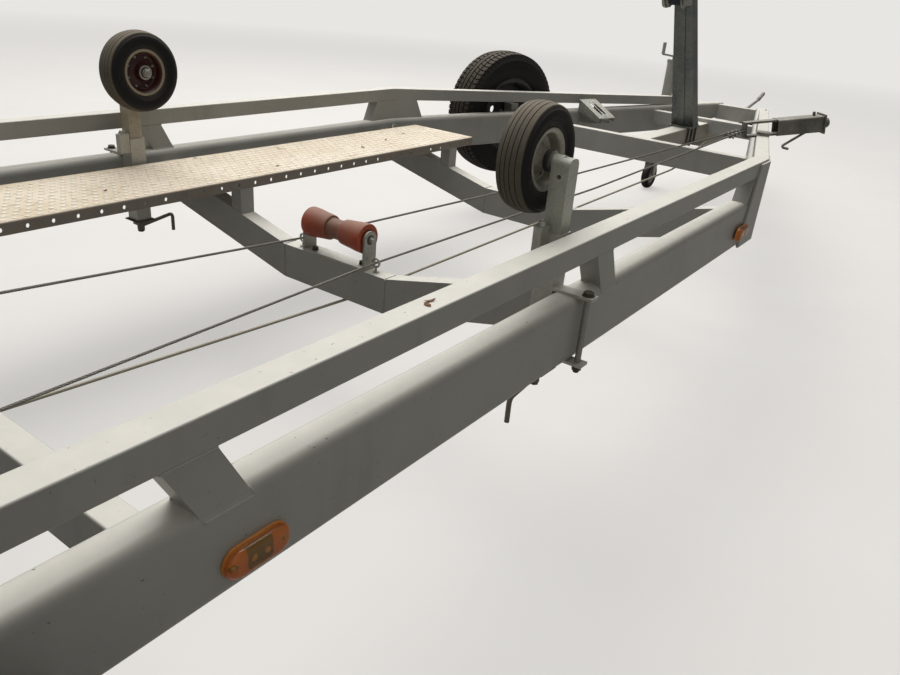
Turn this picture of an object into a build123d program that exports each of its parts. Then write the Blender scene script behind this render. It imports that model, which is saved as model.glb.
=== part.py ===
from build123d import *
from math import cos, radians, sin, tan
import os

# A tandem-axle boat trailer, in millimetres. X points forward to the coupling, Y to the left and Z up.
# The origin is on the floor below the middle of the trailer. The side frames run straight from the tail
# to the bend and converge from there to the nose, so most places are given as distances from the bend.

os.makedirs("parts", exist_ok=True)

# Overall places
BEND_X = 1360           # where the side frames start to converge
NOSE_AHEAD = 3780       # front of the coupling, ahead of the bend
TAIL_BEHIND = 6500      # back of the tail lamps, behind the bend
TAIL_X = BEND_X - TAIL_BEHIND

# Side frames: a deep beam with a slim rail above it
FRAME_HALF = 1015       # outer faces of beams and rails
CONVERGE = 14.75        # degrees that each side turns inward at the bend
BEAM_W = 80
BEAM_H = 180
BEAM_TOP = 650
BEAM_ROUND = 22
BEAM_AHEAD = 3073       # the beams' front ends, ahead of the bend
NOSE_TAPER = 773        # length over which the beams' noses rise underneath
NOSE_H = 103            # height of the beams at their front ends
RAIL = 60
RAIL_TOP = 805
RAIL_ROUND = 4
RAIL_AHEAD = 2432       # where the sloping rails come down on the beams
RAIL_TAIL = 140         # the rails' back ends, ahead of the tail member's front face

# Lamps, plates and small gaps
LAMP_DEPTH = 20         # how far the tail lamps stand out
TAIL_W = 60             # front to back, tail member
PLATE_T = 8             # bend plates
SEAT = 0.3              # gap at a rest seat between pieces that move apart
RUN = 0.05              # radial running clearance at pins
SLIDE = 0.5             # clearance on each side of a telescoping post
OVERCUT = 1             # how far a cut runs past the face that it opens

BEAM_BOTTOM = BEAM_TOP - BEAM_H
BEAM_MID = BEAM_TOP - BEAM_H / 2
RAIL_BOTTOM = RAIL_TOP - RAIL
BEAM_FRONT = BEND_X + BEAM_AHEAD
RAIL_FRONT = BEND_X + RAIL_AHEAD
TAIL_BACK = TAIL_X + LAMP_DEPTH
BEAM_REAR = TAIL_BACK + TAIL_W
TURN = radians(CONVERGE)


def side_y(x, inside=0):
    """How far a line lies from the middle at x, when it runs this far inside the outer faces."""
    if x <= BEND_X - inside * tan(TURN / 2):
        return FRAME_HALF - inside
    return FRAME_HALF - inside / cos(TURN) - tan(TURN) * (x - BEND_X)


def bent_line(inside, rear, front):
    """Plan points of a line that follows one side frame, this far inside the outer faces."""
    return [
        (rear, FRAME_HALF - inside),
        (BEND_X - inside * tan(TURN / 2), FRAME_HALF - inside),
        (front, side_y(front, inside)),
    ]


def block(x, y, z, mode=Mode.ADD):
    """A plain block between two values of each coordinate, in the piece being built."""
    with Locations(((x[0] + x[1]) / 2, (y[0] + y[1]) / 2, (z[0] + z[1]) / 2)):
        Box(abs(x[1] - x[0]), abs(y[1] - y[0]), abs(z[1] - z[0]), mode=mode)


def rod(start, end, radius, mode=Mode.ADD):
    """A round rod from one point to another, in the piece being built."""
    line = Vector(*end) - Vector(*start)
    with Locations(Plane(origin=start, z_dir=line)):
        Cylinder(radius, line.length, align=(Align.CENTER, Align.CENTER, Align.MIN), mode=mode)


def bent_rod(points, radius, bend):
    """A round rod along points, with its corners bent to a radius, in the piece being built."""
    with BuildLine() as route:
        FilletPolyline(*points, radius=bend)
    with BuildSketch(Plane(origin=points[0], z_dir=Vector(*points[1]) - Vector(*points[0]))) as section:
        Circle(radius)
    sweep(section.sketch, path=route.wires()[0])


def save(piece, name):
    """Name a finished piece and write it to its file."""
    piece.label = name
    export_step(piece, "parts/" + name + ".step")


# Main beams: rounded box section, mitred at the bend, with noses that rise underneath
with BuildPart() as main_beams:
    with BuildLine() as beam_line:
        Polyline(*[(x, y, BEAM_MID) for x, y in bent_line(BEAM_W / 2, BEAM_REAR, BEAM_FRONT)])
    with BuildSketch(Plane((BEAM_REAR, FRAME_HALF - BEAM_W / 2, BEAM_MID), x_dir=(0, 1, 0), z_dir=(1, 0, 0))):
        RectangleRounded(BEAM_W, BEAM_H, BEAM_ROUND)
    sweep(path=beam_line.wires()[0], transition=Transition.RIGHT)
    with BuildSketch(Plane.XZ):
        with BuildLine():
            Polyline(
                (BEAM_FRONT - NOSE_TAPER, BEAM_BOTTOM - 1),
                (BEAM_FRONT + BEAM_W, BEAM_TOP - NOSE_H + (BEAM_H - NOSE_H) * BEAM_W / NOSE_TAPER),
                (BEAM_FRONT + BEAM_W, BEAM_BOTTOM - 1),
                close=True,
            )
        make_face()
    extrude(amount=-FRAME_HALF, mode=Mode.SUBTRACT)
    mirror(about=Plane.XZ)
save(main_beams.part, "main_beams")

# Top rails: level to the bend, then sloping down until they seat on the beams
with BuildPart() as top_rails:
    rail_mid = RAIL_TOP - RAIL / 2
    rail_rear = BEAM_REAR + RAIL_TAIL
    rail_plan = bent_line(RAIL / 2, rail_rear, RAIL_FRONT)
    rail_heights = (rail_mid, rail_mid, BEAM_TOP + RAIL / 2 - 2)
    with BuildLine() as rail_line:
        Polyline(*[(x, y, z) for (x, y), z in zip(rail_plan, rail_heights)])
    with BuildSketch(Plane((rail_rear, FRAME_HALF - RAIL / 2, rail_mid), x_dir=(0, 1, 0), z_dir=(1, 0, 0))):
        RectangleRounded(RAIL, RAIL, RAIL_ROUND)
    sweep(path=rail_line.wires()[0], transition=Transition.RIGHT)
    block((RAIL_FRONT - 4 * RAIL, RAIL_FRONT + RAIL), (0, FRAME_HALF), (BEAM_BOTTOM, BEAM_TOP), Mode.SUBTRACT)
    mirror(about=Plane.XZ)
save(top_rails.part, "top_rails")

# Rail stubs: short leaning lengths of box that hold the rails above the beams, and a bent one at each bend
STUB_BEHIND = (1436, 2717, 3998, 5279, 6260)    # middles of the stubs' feet, behind the bend
STUB_L = 92
STUB_LEAN = 50          # how far a stub's top lies behind its foot
CORNER_REAR = 190       # the bent stub's foot, behind and ahead of the bend
GAP_H = RAIL_BOTTOM - BEAM_TOP

with BuildPart() as rail_stubs:
    for behind in STUB_BEHIND:
        foot = BEND_X - behind
        reach = BEAM_ROUND * STUB_LEAN / GAP_H
        with BuildSketch(Plane.XZ.offset(-(FRAME_HALF - 2))):
            with BuildLine():
                Polyline(
                    (foot - STUB_L / 2 + reach, BEAM_TOP - BEAM_ROUND),
                    (foot + STUB_L / 2 + reach, BEAM_TOP - BEAM_ROUND),
                    (foot + STUB_L / 2 - STUB_LEAN, RAIL_BOTTOM),
                    (foot - STUB_L / 2 - STUB_LEAN, RAIL_BOTTOM),
                    close=True,
                )
            make_face()
        extrude(amount=RAIL - 2)
    with BuildSketch(Plane.XY.offset(BEAM_TOP - BEAM_ROUND)):
        with BuildLine():
            Polyline(
                *bent_line(2, BEND_X - CORNER_REAR, BEND_X + CORNER_REAR),
                *reversed(bent_line(RAIL, BEND_X - CORNER_REAR, BEND_X + CORNER_REAR)),
                close=True,
            )
        make_face()
    extrude(amount=RAIL_BOTTOM - BEAM_TOP + BEAM_ROUND)
    for end in (-1, 1):
        with BuildSketch(Plane.XZ):
            with BuildLine():
                Polyline(
                    (BEND_X + end * (CORNER_REAR + 1), BEAM_TOP - BEAM_ROUND),
                    (BEND_X + end * (CORNER_REAR - STUB_LEAN), RAIL_BOTTOM + 1),
                    (BEND_X + end * (CORNER_REAR + 1), RAIL_BOTTOM + 1),
                    close=True,
                )
            make_face()
        extrude(amount=-FRAME_HALF, mode=Mode.SUBTRACT)
    mirror(about=Plane.XZ)
    add(main_beams.part, mode=Mode.SUBTRACT)
    add(top_rails.part, mode=Mode.SUBTRACT)
save(rail_stubs.part, "rail_stubs")

# Bend plates: a folded plate over the outside of each bend, wider at its foot
PLATE_TOP_HALF = 113
PLATE_FOOT_HALF = 185
PLATE_TOP = RAIL_TOP - 8

with BuildPart() as bend_plates:
    with BuildSketch(Plane.XY.offset(BEAM_BOTTOM)):
        with BuildLine():
            Polyline(
                *bent_line(-PLATE_T, BEND_X - PLATE_FOOT_HALF, BEND_X + PLATE_FOOT_HALF),
                *reversed(bent_line(0, BEND_X - PLATE_FOOT_HALF, BEND_X + PLATE_FOOT_HALF)),
                close=True,
            )
        make_face()
    extrude(amount=PLATE_TOP - BEAM_BOTTOM)
    for end in (-1, 1):
        with BuildSketch(Plane.XZ):
            with BuildLine():
                Polyline(
                    (BEND_X + end * PLATE_FOOT_HALF, BEAM_BOTTOM - 1),
                    (BEND_X + end * PLATE_TOP_HALF, PLATE_TOP + 1),
                    (BEND_X + end * PLATE_FOOT_HALF * 2, PLATE_TOP + 1),
                    (BEND_X + end * PLATE_FOOT_HALF * 2, BEAM_BOTTOM - 1),
                    close=True,
                )
            make_face()
        extrude(amount=-FRAME_HALF * 2, mode=Mode.SUBTRACT)
    mirror(about=Plane.XZ)
    add(top_rails.part, mode=Mode.SUBTRACT)
save(bend_plates.part, "bend_plates")

# Straight cross-members: rear face ahead of the bend, top, height
MEMBER_W = 60
MEMBER_ROUND = 5
DRAWBAR = 100
DRAWBAR_TOP = 531
REST_TOP = 563          # top of the member under the walkway's rear end
SPINE_REAR_MEMBER = 1100
SPINE_FRONT_MEMBER = 2200
NOSE_MEMBER = 2980
STRAIGHT_MEMBERS = (
    (-5470, REST_TOP, 112),
    (-2810, REST_TOP, 112),
    (SPINE_REAR_MEMBER, 598, 128),
    (SPINE_FRONT_MEMBER, 621, 621 - DRAWBAR_TOP),
    (NOSE_MEMBER, 640, 640 - DRAWBAR_TOP),
)
TAIL_TOP = 640
TAIL_H = 160
EYE_OUT = 700           # lashing eyes, from the middle
EYE_T = 10
EYE_R = 13              # hole radius of the lashing eyes
EYE_W = 50

with BuildPart() as cross_members:
    for ahead, top, height in STRAIGHT_MEMBERS:
        rear = BEND_X + ahead
        front = rear + MEMBER_W
        with BuildSketch(Plane.XY.offset(top - height)):
            with BuildLine():
                Polyline(
                    (rear, side_y(rear, BEAM_W)),
                    (front, side_y(front, BEAM_W)),
                    (front, -side_y(front, BEAM_W)),
                    (rear, -side_y(rear, BEAM_W)),
                    close=True,
                )
            make_face()
        extrude(amount=height)
    block((TAIL_BACK, BEAM_REAR), (-FRAME_HALF, FRAME_HALF), (TAIL_TOP - TAIL_H, TAIL_TOP))
    fillet(cross_members.edges().filter_by(Axis.Y), MEMBER_ROUND)
    for side in (-1, 1):
        with BuildSketch(Plane.XZ.offset(-side * EYE_OUT - EYE_T / 2)):
            with Locations(((TAIL_BACK + BEAM_REAR) / 2, TAIL_TOP)):
                Rectangle(EYE_W, EYE_W, align=(Align.CENTER, Align.CENTER))
            with Locations(((TAIL_BACK + BEAM_REAR) / 2, TAIL_TOP + EYE_W / 2)):
                Circle(EYE_W / 2)
                Circle(EYE_R, mode=Mode.SUBTRACT)
        extrude(amount=EYE_T)
save(cross_members.part, "cross_members")

# Dropped cross-members: a low flat middle under the keel and arms that rise to the beams
DROP_REARS = (-4220, -1450, -130)       # rear faces, ahead of the bend
DROP_FLAT = 241         # half of the flat middle
DROP_TOP = 437
DROP_H = 126
DROP_RISE = 0.24        # rise of the arms for each unit outward
ROD_R = 5
ROD_HOLE = 14


def arm_top(y):
    """Height of a dropped member's top this far from the middle."""
    return DROP_TOP + DROP_RISE * max(0, y - DROP_FLAT)


ARM_END = FRAME_HALF - BEAM_W

# Brake rod: from the axle compensator under the first dropped member, through the second, to the drawbar
ROD_FRONT = (BEND_X + 2980, -(DRAWBAR / 2 + ROD_R + SEAT), 480)
ROD_DRAWBAR = (BEND_X + 2280, -(DRAWBAR / 2 + ROD_R + SEAT), 480)
ROD_GUIDE = (BEND_X + 1130, -240, 456)
ROD_LOW = (BEND_X - 1420, -50, 300)
ROD_REAR = (BEND_X - 3213.5, 0, 352)


def rod_at(x):
    """Point on the brake rod at x, between the two dropped members."""
    share = (x - ROD_LOW[0]) / (ROD_GUIDE[0] - ROD_LOW[0])
    return [low + (high - low) * share for low, high in zip(ROD_LOW, ROD_GUIDE)]


with BuildPart() as dropped_members:
    for ahead in DROP_REARS:
        with BuildSketch(Plane.YZ.offset(BEND_X + ahead)):
            with BuildLine():
                Polyline(
                    (-ARM_END, arm_top(ARM_END)),
                    (-DROP_FLAT, DROP_TOP),
                    (DROP_FLAT, DROP_TOP),
                    (ARM_END, arm_top(ARM_END)),
                    (ARM_END, arm_top(ARM_END) - DROP_H),
                    (DROP_FLAT, DROP_TOP - DROP_H),
                    (-DROP_FLAT, DROP_TOP - DROP_H),
                    (-ARM_END, arm_top(ARM_END) - DROP_H),
                    close=True,
                )
            make_face()
        extrude(amount=MEMBER_W)
    hole_x = BEND_X + DROP_REARS[2]
    rod(rod_at(hole_x - MEMBER_W), rod_at(hole_x + 2 * MEMBER_W), ROD_HOLE, Mode.SUBTRACT)
save(dropped_members.part, "dropped_members")

# Walkway: a folded pan along the left side with a deep inner flange, on brackets on the members
WALK_TOP = 627
WALK_OUT = FRAME_HALF - 158
WALK_IN = WALK_OUT - 385
WALK_T = 3
WALK_FLANGE = 40
WALK_LIP = 25
WALK_FRONT = 60         # ahead of the bend
WALK_REAR = -2820
BRACKET_W = 58

with BuildPart() as walkway:
    walk_x = (BEND_X + WALK_REAR, BEND_X + WALK_FRONT)
    block(walk_x, (WALK_IN, WALK_OUT), (WALK_TOP - WALK_T, WALK_TOP))
    block(walk_x, (WALK_IN, WALK_IN + WALK_T), (WALK_TOP - WALK_FLANGE, WALK_TOP))
    block(walk_x, (WALK_OUT - WALK_T, WALK_OUT), (WALK_TOP - WALK_LIP, WALK_TOP))
    for ahead in DROP_REARS[1:]:
        for inner, outer in ((WALK_IN, WALK_IN + BRACKET_W), (WALK_OUT - BRACKET_W, WALK_OUT)):
            with BuildSketch(Plane.YZ.offset(BEND_X + ahead)):
                with BuildLine():
                    Polyline(
                        (inner, arm_top(inner)),
                        (outer, arm_top(outer)),
                        (outer, WALK_TOP - WALK_T),
                        (inner, WALK_TOP - WALK_T),
                        close=True,
                    )
                make_face()
            extrude(amount=MEMBER_W)
    for inner, outer in ((WALK_IN, WALK_IN + BRACKET_W), (WALK_OUT - BRACKET_W, WALK_OUT)):
        rest = BEND_X + STRAIGHT_MEMBERS[1][0]
        block((rest, rest + MEMBER_W), (inner, outer), (REST_TOP, WALK_TOP - WALK_T))
save(walkway.part, "walkway")

# Keel rollers on the dropped members, each between the legs of a flat-bar bracket
ROLLER_Z = 543
ROLLER_L = 268
ROLLER_END_R = 52.5
ROLLER_WAIST_R = 35
ROLLER_RIM = 30         # straight part at each end
BAR_T = 8
LEG_GAP = 4
PIN_R = 10
LEG_FACE = ROLLER_L / 2 + LEG_GAP

with BuildPart() as roller_brackets:
    for ahead in DROP_REARS:
        middle = BEND_X + ahead + MEMBER_W / 2
        leg_out = LEG_FACE + BAR_T
        block((middle - MEMBER_W / 2, middle + MEMBER_W / 2), (-leg_out, leg_out), (DROP_TOP, DROP_TOP + BAR_T))
        for face in (-LEG_FACE, leg_out):
            with BuildSketch(Plane.XZ.offset(-face)):
                with Locations((middle, ROLLER_Z)):
                    Circle(MEMBER_W / 2)
                with Locations((middle, (DROP_TOP + ROLLER_Z) / 2)):
                    Rectangle(MEMBER_W, ROLLER_Z - DROP_TOP)
            extrude(amount=BAR_T)
        rod((middle, -leg_out - BAR_T, ROLLER_Z), (middle, leg_out + BAR_T, ROLLER_Z), PIN_R)
save(roller_brackets.part, "roller_brackets")

ROLLER_NAMES = ("rear", "middle", "front")
for place, ahead in zip(ROLLER_NAMES, DROP_REARS):
    middle = BEND_X + ahead + MEMBER_W / 2
    with BuildPart() as keel_roller:
        with BuildSketch(Plane((middle, 0, ROLLER_Z), x_dir=(0, 1, 0), z_dir=(1, 0, 0))):
            with BuildLine():
                half = ROLLER_L / 2
                hollow = half - ROLLER_RIM
                Line((-half, PIN_R + RUN), (-half, ROLLER_END_R))
                Line((-half, ROLLER_END_R), (-hollow, ROLLER_END_R))
                ThreePointArc((-hollow, ROLLER_END_R), (0, ROLLER_WAIST_R), (hollow, ROLLER_END_R))
                Line((hollow, ROLLER_END_R), (half, ROLLER_END_R))
                Line((half, ROLLER_END_R), (half, PIN_R + RUN))
                Line((half, PIN_R + RUN), (-half, PIN_R + RUN))
            make_face()
        revolve(axis=Axis((middle, 0, ROLLER_Z), (0, 1, 0)))
    save(keel_roller.part, "keel_roller_" + place)

# Support stations: name, ahead of the bend, side, top of the sleeve, heading of the crank in degrees
STATIONS = (
    ("front_left", -1600, 1, 720, 12),
    ("front_right", -1575, -1, 795, 172),
    ("rear_left", -5150, 1, 720, 12),
    ("rear_right", -5150, -1, 795, 172),
)
SLEEVE = 60
SLEEVE_BOTTOM = 403
POST = 50
POST_BOTTOM = 560
POST_ROUND = 18
SUPPORT_Z = 968         # height of the support wheels' axles
SUPPORT_R = 140
SUPPORT_W = 90
SUPPORT_BEAD_R = 74
STUB_R = 12
POST_Y = ARM_END - SLEEVE / 2
SUPPORT_Y = POST_Y - 83 # middle of the support wheels
POST_TOP = SUPPORT_Z + 16
PIN_HOLE_DOWN = 30      # the pin hole, below the support wheel's axle
PIN_HOLE_R = 6
STRAP_T = 8
STRAP_W = 40
CLAMP_BOLT_R = 8
CLAMP_OUT = FRAME_HALF + 15     # the clamp bolt, outside the beam
CLAMP_BACK = 15         # the clamp bolt, behind the sleeve's middle
CRANK_Z = 372
CRANK_ARM = 175
CRANK_R = 7
CRANK_GRIP = 60

with BuildPart() as post_sleeves:
    for name, ahead, side, top, heading in STATIONS:
        x = BEND_X + ahead
        y = side * POST_Y
        bore = POST / 2 + SLIDE
        block((x - SLEEVE / 2, x + SLEEVE / 2), (y - SLEEVE / 2, y + SLEEVE / 2), (SLEEVE_BOTTOM, top))
        block((x - bore, x + bore), (y - bore, y + bore), (SLEEVE_BOTTOM + 10, top), Mode.SUBTRACT)
        for low in (BEAM_TOP, BEAM_BOTTOM - STRAP_T):
            strap_x = x - CLAMP_BACK
            block(
                (strap_x - STRAP_W / 2, strap_x + STRAP_W / 2),
                (side * (ARM_END), side * (CLAMP_OUT + STRAP_W / 2)),
                (low, low + STRAP_T),
            )
        rod(
            (x - CLAMP_BACK, side * CLAMP_OUT, BEAM_BOTTOM - 2 * STRAP_T),
            (x - CLAMP_BACK, side * CLAMP_OUT, BEAM_TOP + 2 * STRAP_T),
            CLAMP_BOLT_R,
        )
        ear_y = y - side * SLEEVE / 4
        block((x - SLEEVE / 2 - 40, x - SLEEVE / 2), (ear_y - 12, ear_y + 12), (top - 50, top + 20))
        rod((x - SLEEVE / 2 - 20, ear_y, top + 20), (x - SLEEVE / 2 - 20, ear_y, top + 32), 10)
save(post_sleeves.part, "post_sleeves")

with BuildPart() as height_cranks:
    for name, ahead, side, top, heading in STATIONS:
        x = BEND_X + ahead
        y = side * POST_Y
        block((x - 20, x + 20), (y - 20, y + 20), (CRANK_Z + 7, SLEEVE_BOTTOM))
        rod((x, y, CRANK_Z - 14), (x, y, CRANK_Z + 7), 14)
        away = radians(heading * side)
        tip = (x + CRANK_ARM * cos(away), y + CRANK_ARM * sin(away))
        bent_rod([(x, y, CRANK_Z), (*tip, CRANK_Z + 12), (*tip, CRANK_Z - CRANK_GRIP)], CRANK_R, 16)
save(height_cranks.part, "height_cranks")

for name, ahead, side, top, heading in STATIONS:
    x = BEND_X + ahead
    y = side * POST_Y
    hub_y = side * SUPPORT_Y
    away = -side        # the wheel hangs on the inner side of its post
    axis = Axis((x, hub_y, SUPPORT_Z), (0, 1, 0))
    face = Plane((x, hub_y, SUPPORT_Z), x_dir=(0, -side, 0), z_dir=(1, 0, 0))
    stub_end = SUPPORT_W / 2 + 6

    with BuildPart() as support_post:
        with BuildSketch(Plane.XZ.offset(-y - POST / 2)) as post_outline:
            with Locations((x, (POST_BOTTOM + POST_TOP) / 2)):
                Rectangle(POST, POST_TOP - POST_BOTTOM)
            fillet(post_outline.vertices().group_by(Axis.Y)[-1], POST_ROUND)
        extrude(amount=POST)
        rod((x, y, SUPPORT_Z), (x, hub_y + away * stub_end, SUPPORT_Z), STUB_R)
        hole_z = SUPPORT_Z - PIN_HOLE_DOWN
        rod((x - POST, y, hole_z), (x + POST, y, hole_z), PIN_HOLE_R, Mode.SUBTRACT)
        rod((x, y, SUPPORT_Z), (x, side * (SUPPORT_Y + SUPPORT_W / 2 - 4), SUPPORT_Z), STUB_R + 8)
    save(support_post.part, "support_post_" + name)

    # Steel disc wheel: a deep dish with rolled edges, on a plain hub
    with BuildPart() as support_rim:
        with BuildSketch(face):
            with BuildLine():
                Polyline(
                    (-SUPPORT_W / 2 + 6, STUB_R + RUN),
                    (SUPPORT_W / 2 - 8, STUB_R + RUN),
                    (SUPPORT_W / 2 - 8, 24),
                    (10, 26),
                    (4, 52),
                    (8, 60),
                    (SUPPORT_W / 2 - 12, 64),
                    (SUPPORT_W / 2 - 8, SUPPORT_BEAD_R + 6),
                    (SUPPORT_W / 2 - 12, SUPPORT_BEAD_R + 6),
                    (SUPPORT_W / 2 - 15, SUPPORT_BEAD_R - 0.3),
                    (-SUPPORT_W / 2 + 15, SUPPORT_BEAD_R - 0.3),
                    (-SUPPORT_W / 2 + 12, SUPPORT_BEAD_R + 6),
                    (-SUPPORT_W / 2 + 8, SUPPORT_BEAD_R + 6),
                    (-SUPPORT_W / 2 + 12, 64),
                    (-2, 60),
                    (-6, 26),
                    (-SUPPORT_W / 2 + 6, 24),
                    close=True,
                )
            make_face()
        revolve(axis=axis)
    save(support_rim.part, "support_rim_" + name)

    with BuildPart() as support_tyre:
        with BuildSketch(face):
            half = SUPPORT_W / 2
            with BuildLine():
                Polyline(
                    (half - 15.5, SUPPORT_BEAD_R),
                    (half - 12.5, SUPPORT_BEAD_R + 6.3),
                    (half - 3, SUPPORT_BEAD_R + 14),
                )
                ThreePointArc(
                    (half - 3, SUPPORT_BEAD_R + 14),
                    (half, SUPPORT_BEAD_R + 34),
                    (half - 10, SUPPORT_R - 5),
                )
                ThreePointArc((half - 10, SUPPORT_R - 5), (0, SUPPORT_R), (-half + 10, SUPPORT_R - 5))
                ThreePointArc(
                    (-half + 10, SUPPORT_R - 5),
                    (-half, SUPPORT_BEAD_R + 34),
                    (-half + 3, SUPPORT_BEAD_R + 14),
                )
                Polyline(
                    (-half + 3, SUPPORT_BEAD_R + 14),
                    (-half + 12.5, SUPPORT_BEAD_R + 6.3),
                    (-half + 15.5, SUPPORT_BEAD_R),
                )
                Line((-half + 15.5, SUPPORT_BEAD_R), (half - 15.5, SUPPORT_BEAD_R))
            make_face()
        revolve(axis=axis)
    save(support_tyre.part, "support_tyre_" + name)

# Axles: square tubes under the beams with trailing arms and stub axles
WHEEL_BEHIND = (3434, 4234)     # wheel centres, behind the bend
WHEEL_R = 370
WHEEL_W = 215
WHEEL_Y = FRAME_HALF + 133
BEAD_R = 206
ARM_REACH = 160         # the arms' pivots, ahead of the wheel centres
AXLE = 80
AXLE_Z = 422
SUSPENSION_ARM_T = 18
STUB_AXLE_R = 26

with BuildPart() as torsion_axles:
    for behind in WHEEL_BEHIND:
        wheel_x = BEND_X - behind
        tube_x = wheel_x + ARM_REACH
        tube = (tube_x - AXLE / 2, tube_x + AXLE / 2)
        block(tube, (-FRAME_HALF, FRAME_HALF), (AXLE_Z - AXLE / 2, AXLE_Z + AXLE / 2))
        for side in (-1, 1):
            seat = (side * (ARM_END + 2), side * (FRAME_HALF - 2))
            block((tube[0] - 40, tube[1] + 40), seat, (AXLE_Z + AXLE / 2, BEAM_BOTTOM))
            with BuildSketch(Plane.XZ.offset(-side * FRAME_HALF - (SUSPENSION_ARM_T if side > 0 else 0))):
                with Locations((tube_x, AXLE_Z)):
                    Circle(46)
                with Locations((wheel_x, WHEEL_R)):
                    Circle(38)
                make_hull()
            extrude(amount=SUSPENSION_ARM_T)
            rod(
                (wheel_x, side * FRAME_HALF, WHEEL_R),
                (wheel_x, side * (WHEEL_Y + 40), WHEEL_R),
                STUB_AXLE_R,
            )
    lug_front = ROD_REAR[0] - 2 * SEAT
    lug_rear = BEND_X - WHEEL_BEHIND[0] + ARM_REACH + AXLE / 2
    block((lug_rear, lug_front), (-20, 20), (ROD_REAR[2] - 16, AXLE_Z))
save(torsion_axles.part, "torsion_axles")


def wheel_profile(plane):
    """Half section of a steel road wheel with its brake drum and hub."""
    half = WHEEL_W / 2
    with BuildSketch(plane) as section:
        with BuildLine():
            Polyline(
                (-half + 42, STUB_AXLE_R + RUN),
                (half - 60, STUB_AXLE_R + RUN),
                (half - 60, 0),
                (half - 30, 0),
                (half - 30, 30),
                (half - 56, 44),
                (half - 62, 84),
                (half - 52, 128),
                (half - 62, 178),
                (half - 20, 188),
                (half - 14, BEAD_R + 14),
                (half - 20, BEAD_R + 14),
                (half - 28, BEAD_R - 0.3),
                (-half + 28, BEAD_R - 0.3),
                (-half + 20, BEAD_R + 14),
                (-half + 14, BEAD_R + 14),
                (-half + 20, 188),
                (half - 80, 168),
                (half - 70, 128),
                (-half + 30, 126),
                (-half + 30, 110),
                (half - 82, 100),
                (half - 84, 52),
                (-half + 42, 44),
                close=True,
            )
        make_face()
    return section.sketch


def tyre_profile(plane, radius, width, bead, rim_in):
    """Section of a tyre seated on its rim."""
    half = width / 2
    with BuildSketch(plane) as section:
        with BuildLine():
            Line((-half + rim_in, bead), (half - rim_in, bead))
            Line((half - rim_in, bead), (half - rim_in + 9, bead + 20))
            ThreePointArc(
                (half - rim_in + 9, bead + 20),
                (half, (bead + radius) / 2 + 6),
                (half - 20, radius - 10),
            )
            ThreePointArc((half - 20, radius - 10), (0, radius), (-half + 20, radius - 10))
            ThreePointArc(
                (-half + 20, radius - 10),
                (-half, (bead + radius) / 2 + 6),
                (-half + rim_in - 9, bead + 20),
            )
            Line((-half + rim_in - 9, bead + 20), (-half + rim_in, bead))
        make_face()
    return section.sketch


for row, behind in zip(("front", "rear"), WHEEL_BEHIND):
    for word, side in (("left", 1), ("right", -1)):
        centre = (BEND_X - behind, side * WHEEL_Y, WHEEL_R)
        face = Plane(centre, x_dir=(0, side, 0), z_dir=(1, 0, 0))
        with BuildPart() as road_wheel:
            revolve(wheel_profile(face), axis=Axis(centre, (0, 1, 0)))
        save(road_wheel.part, "road_wheel_" + row + "_" + word)
        with BuildPart() as road_tyre:
            tyre_section = tyre_profile(face, WHEEL_R, WHEEL_W, BEAD_R, 28)
            revolve(tyre_section, axis=Axis(centre, (0, 1, 0)))
        save(road_tyre.part, "road_tyre_" + row + "_" + word)

# Mudguards: one tandem guard a side, with stays to the frame
GUARD_GAP = 45
GUARD_T = 4
GUARD_IN = FRAME_HALF + 15
GUARD_OUT = FRAME_HALF + 260
GUARD_SKIRT = 25
STAY_W = 50

with BuildPart() as mudguards:
    first = BEND_X - WHEEL_BEHIND[0]
    last = BEND_X - WHEEL_BEHIND[1]
    inner_r = WHEEL_R + GUARD_GAP
    outer_r = inner_r + GUARD_T
    skirt_r = inner_r - GUARD_SKIRT

    def guard_band(small, large, y_near, y_far):
        """A band over both wheels between two radii and two distances from the middle."""
        with BuildSketch(Plane.XZ.offset(-y_far)) as band:
            for radius, how in ((large, Mode.ADD), (small, Mode.SUBTRACT)):
                with Locations((first, WHEEL_R), (last, WHEEL_R)):
                    Circle(radius, mode=how)
                with Locations(((first + last) / 2, WHEEL_R)):
                    Rectangle(first - last, 2 * radius, mode=how)
            with Locations(((first + last) / 2, WHEEL_R + 60 - outer_r)):
                Rectangle(first - last + 3 * outer_r, 2 * outer_r, mode=Mode.SUBTRACT)
        extrude(band.sketch, amount=y_far - y_near)

    guard_band(inner_r, outer_r, GUARD_IN, GUARD_OUT)
    guard_band(skirt_r, inner_r + 1, GUARD_OUT - GUARD_T, GUARD_OUT)
    guard_top = WHEEL_R + inner_r
    stay_mid = (first + last) / 2
    block((stay_mid - STAY_W / 2, stay_mid + STAY_W / 2), (FRAME_HALF, GUARD_OUT - 10), (guard_top - 28, guard_top))
    for end_x in (first + inner_r - 18, last - inner_r - 32):
        block((end_x, end_x + STAY_W), (FRAME_HALF, GUARD_IN + 60), (500, 530))
    mirror(about=Plane.XZ)
save(mudguards.part, "mudguards")

# Spare wheel: upright beside the left converging beam, on a stud from a bracket
SPARE_AHEAD = 952
SPARE_OFF = 132         # middle of the spare wheel, outside the beam's outer face
SPARE_Z = 615
SPARE_STUD_R = 25
spare_x = BEND_X + SPARE_AHEAD
outward = Vector(sin(TURN), cos(TURN), 0)
spare_foot = Vector(spare_x, side_y(spare_x), SPARE_Z)
spare_mid = spare_foot + outward * SPARE_OFF
spare_face = Plane(spare_mid, x_dir=-outward, z_dir=(cos(TURN), -sin(TURN), 0))
spare_axis = Axis(spare_mid, outward)

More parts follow.
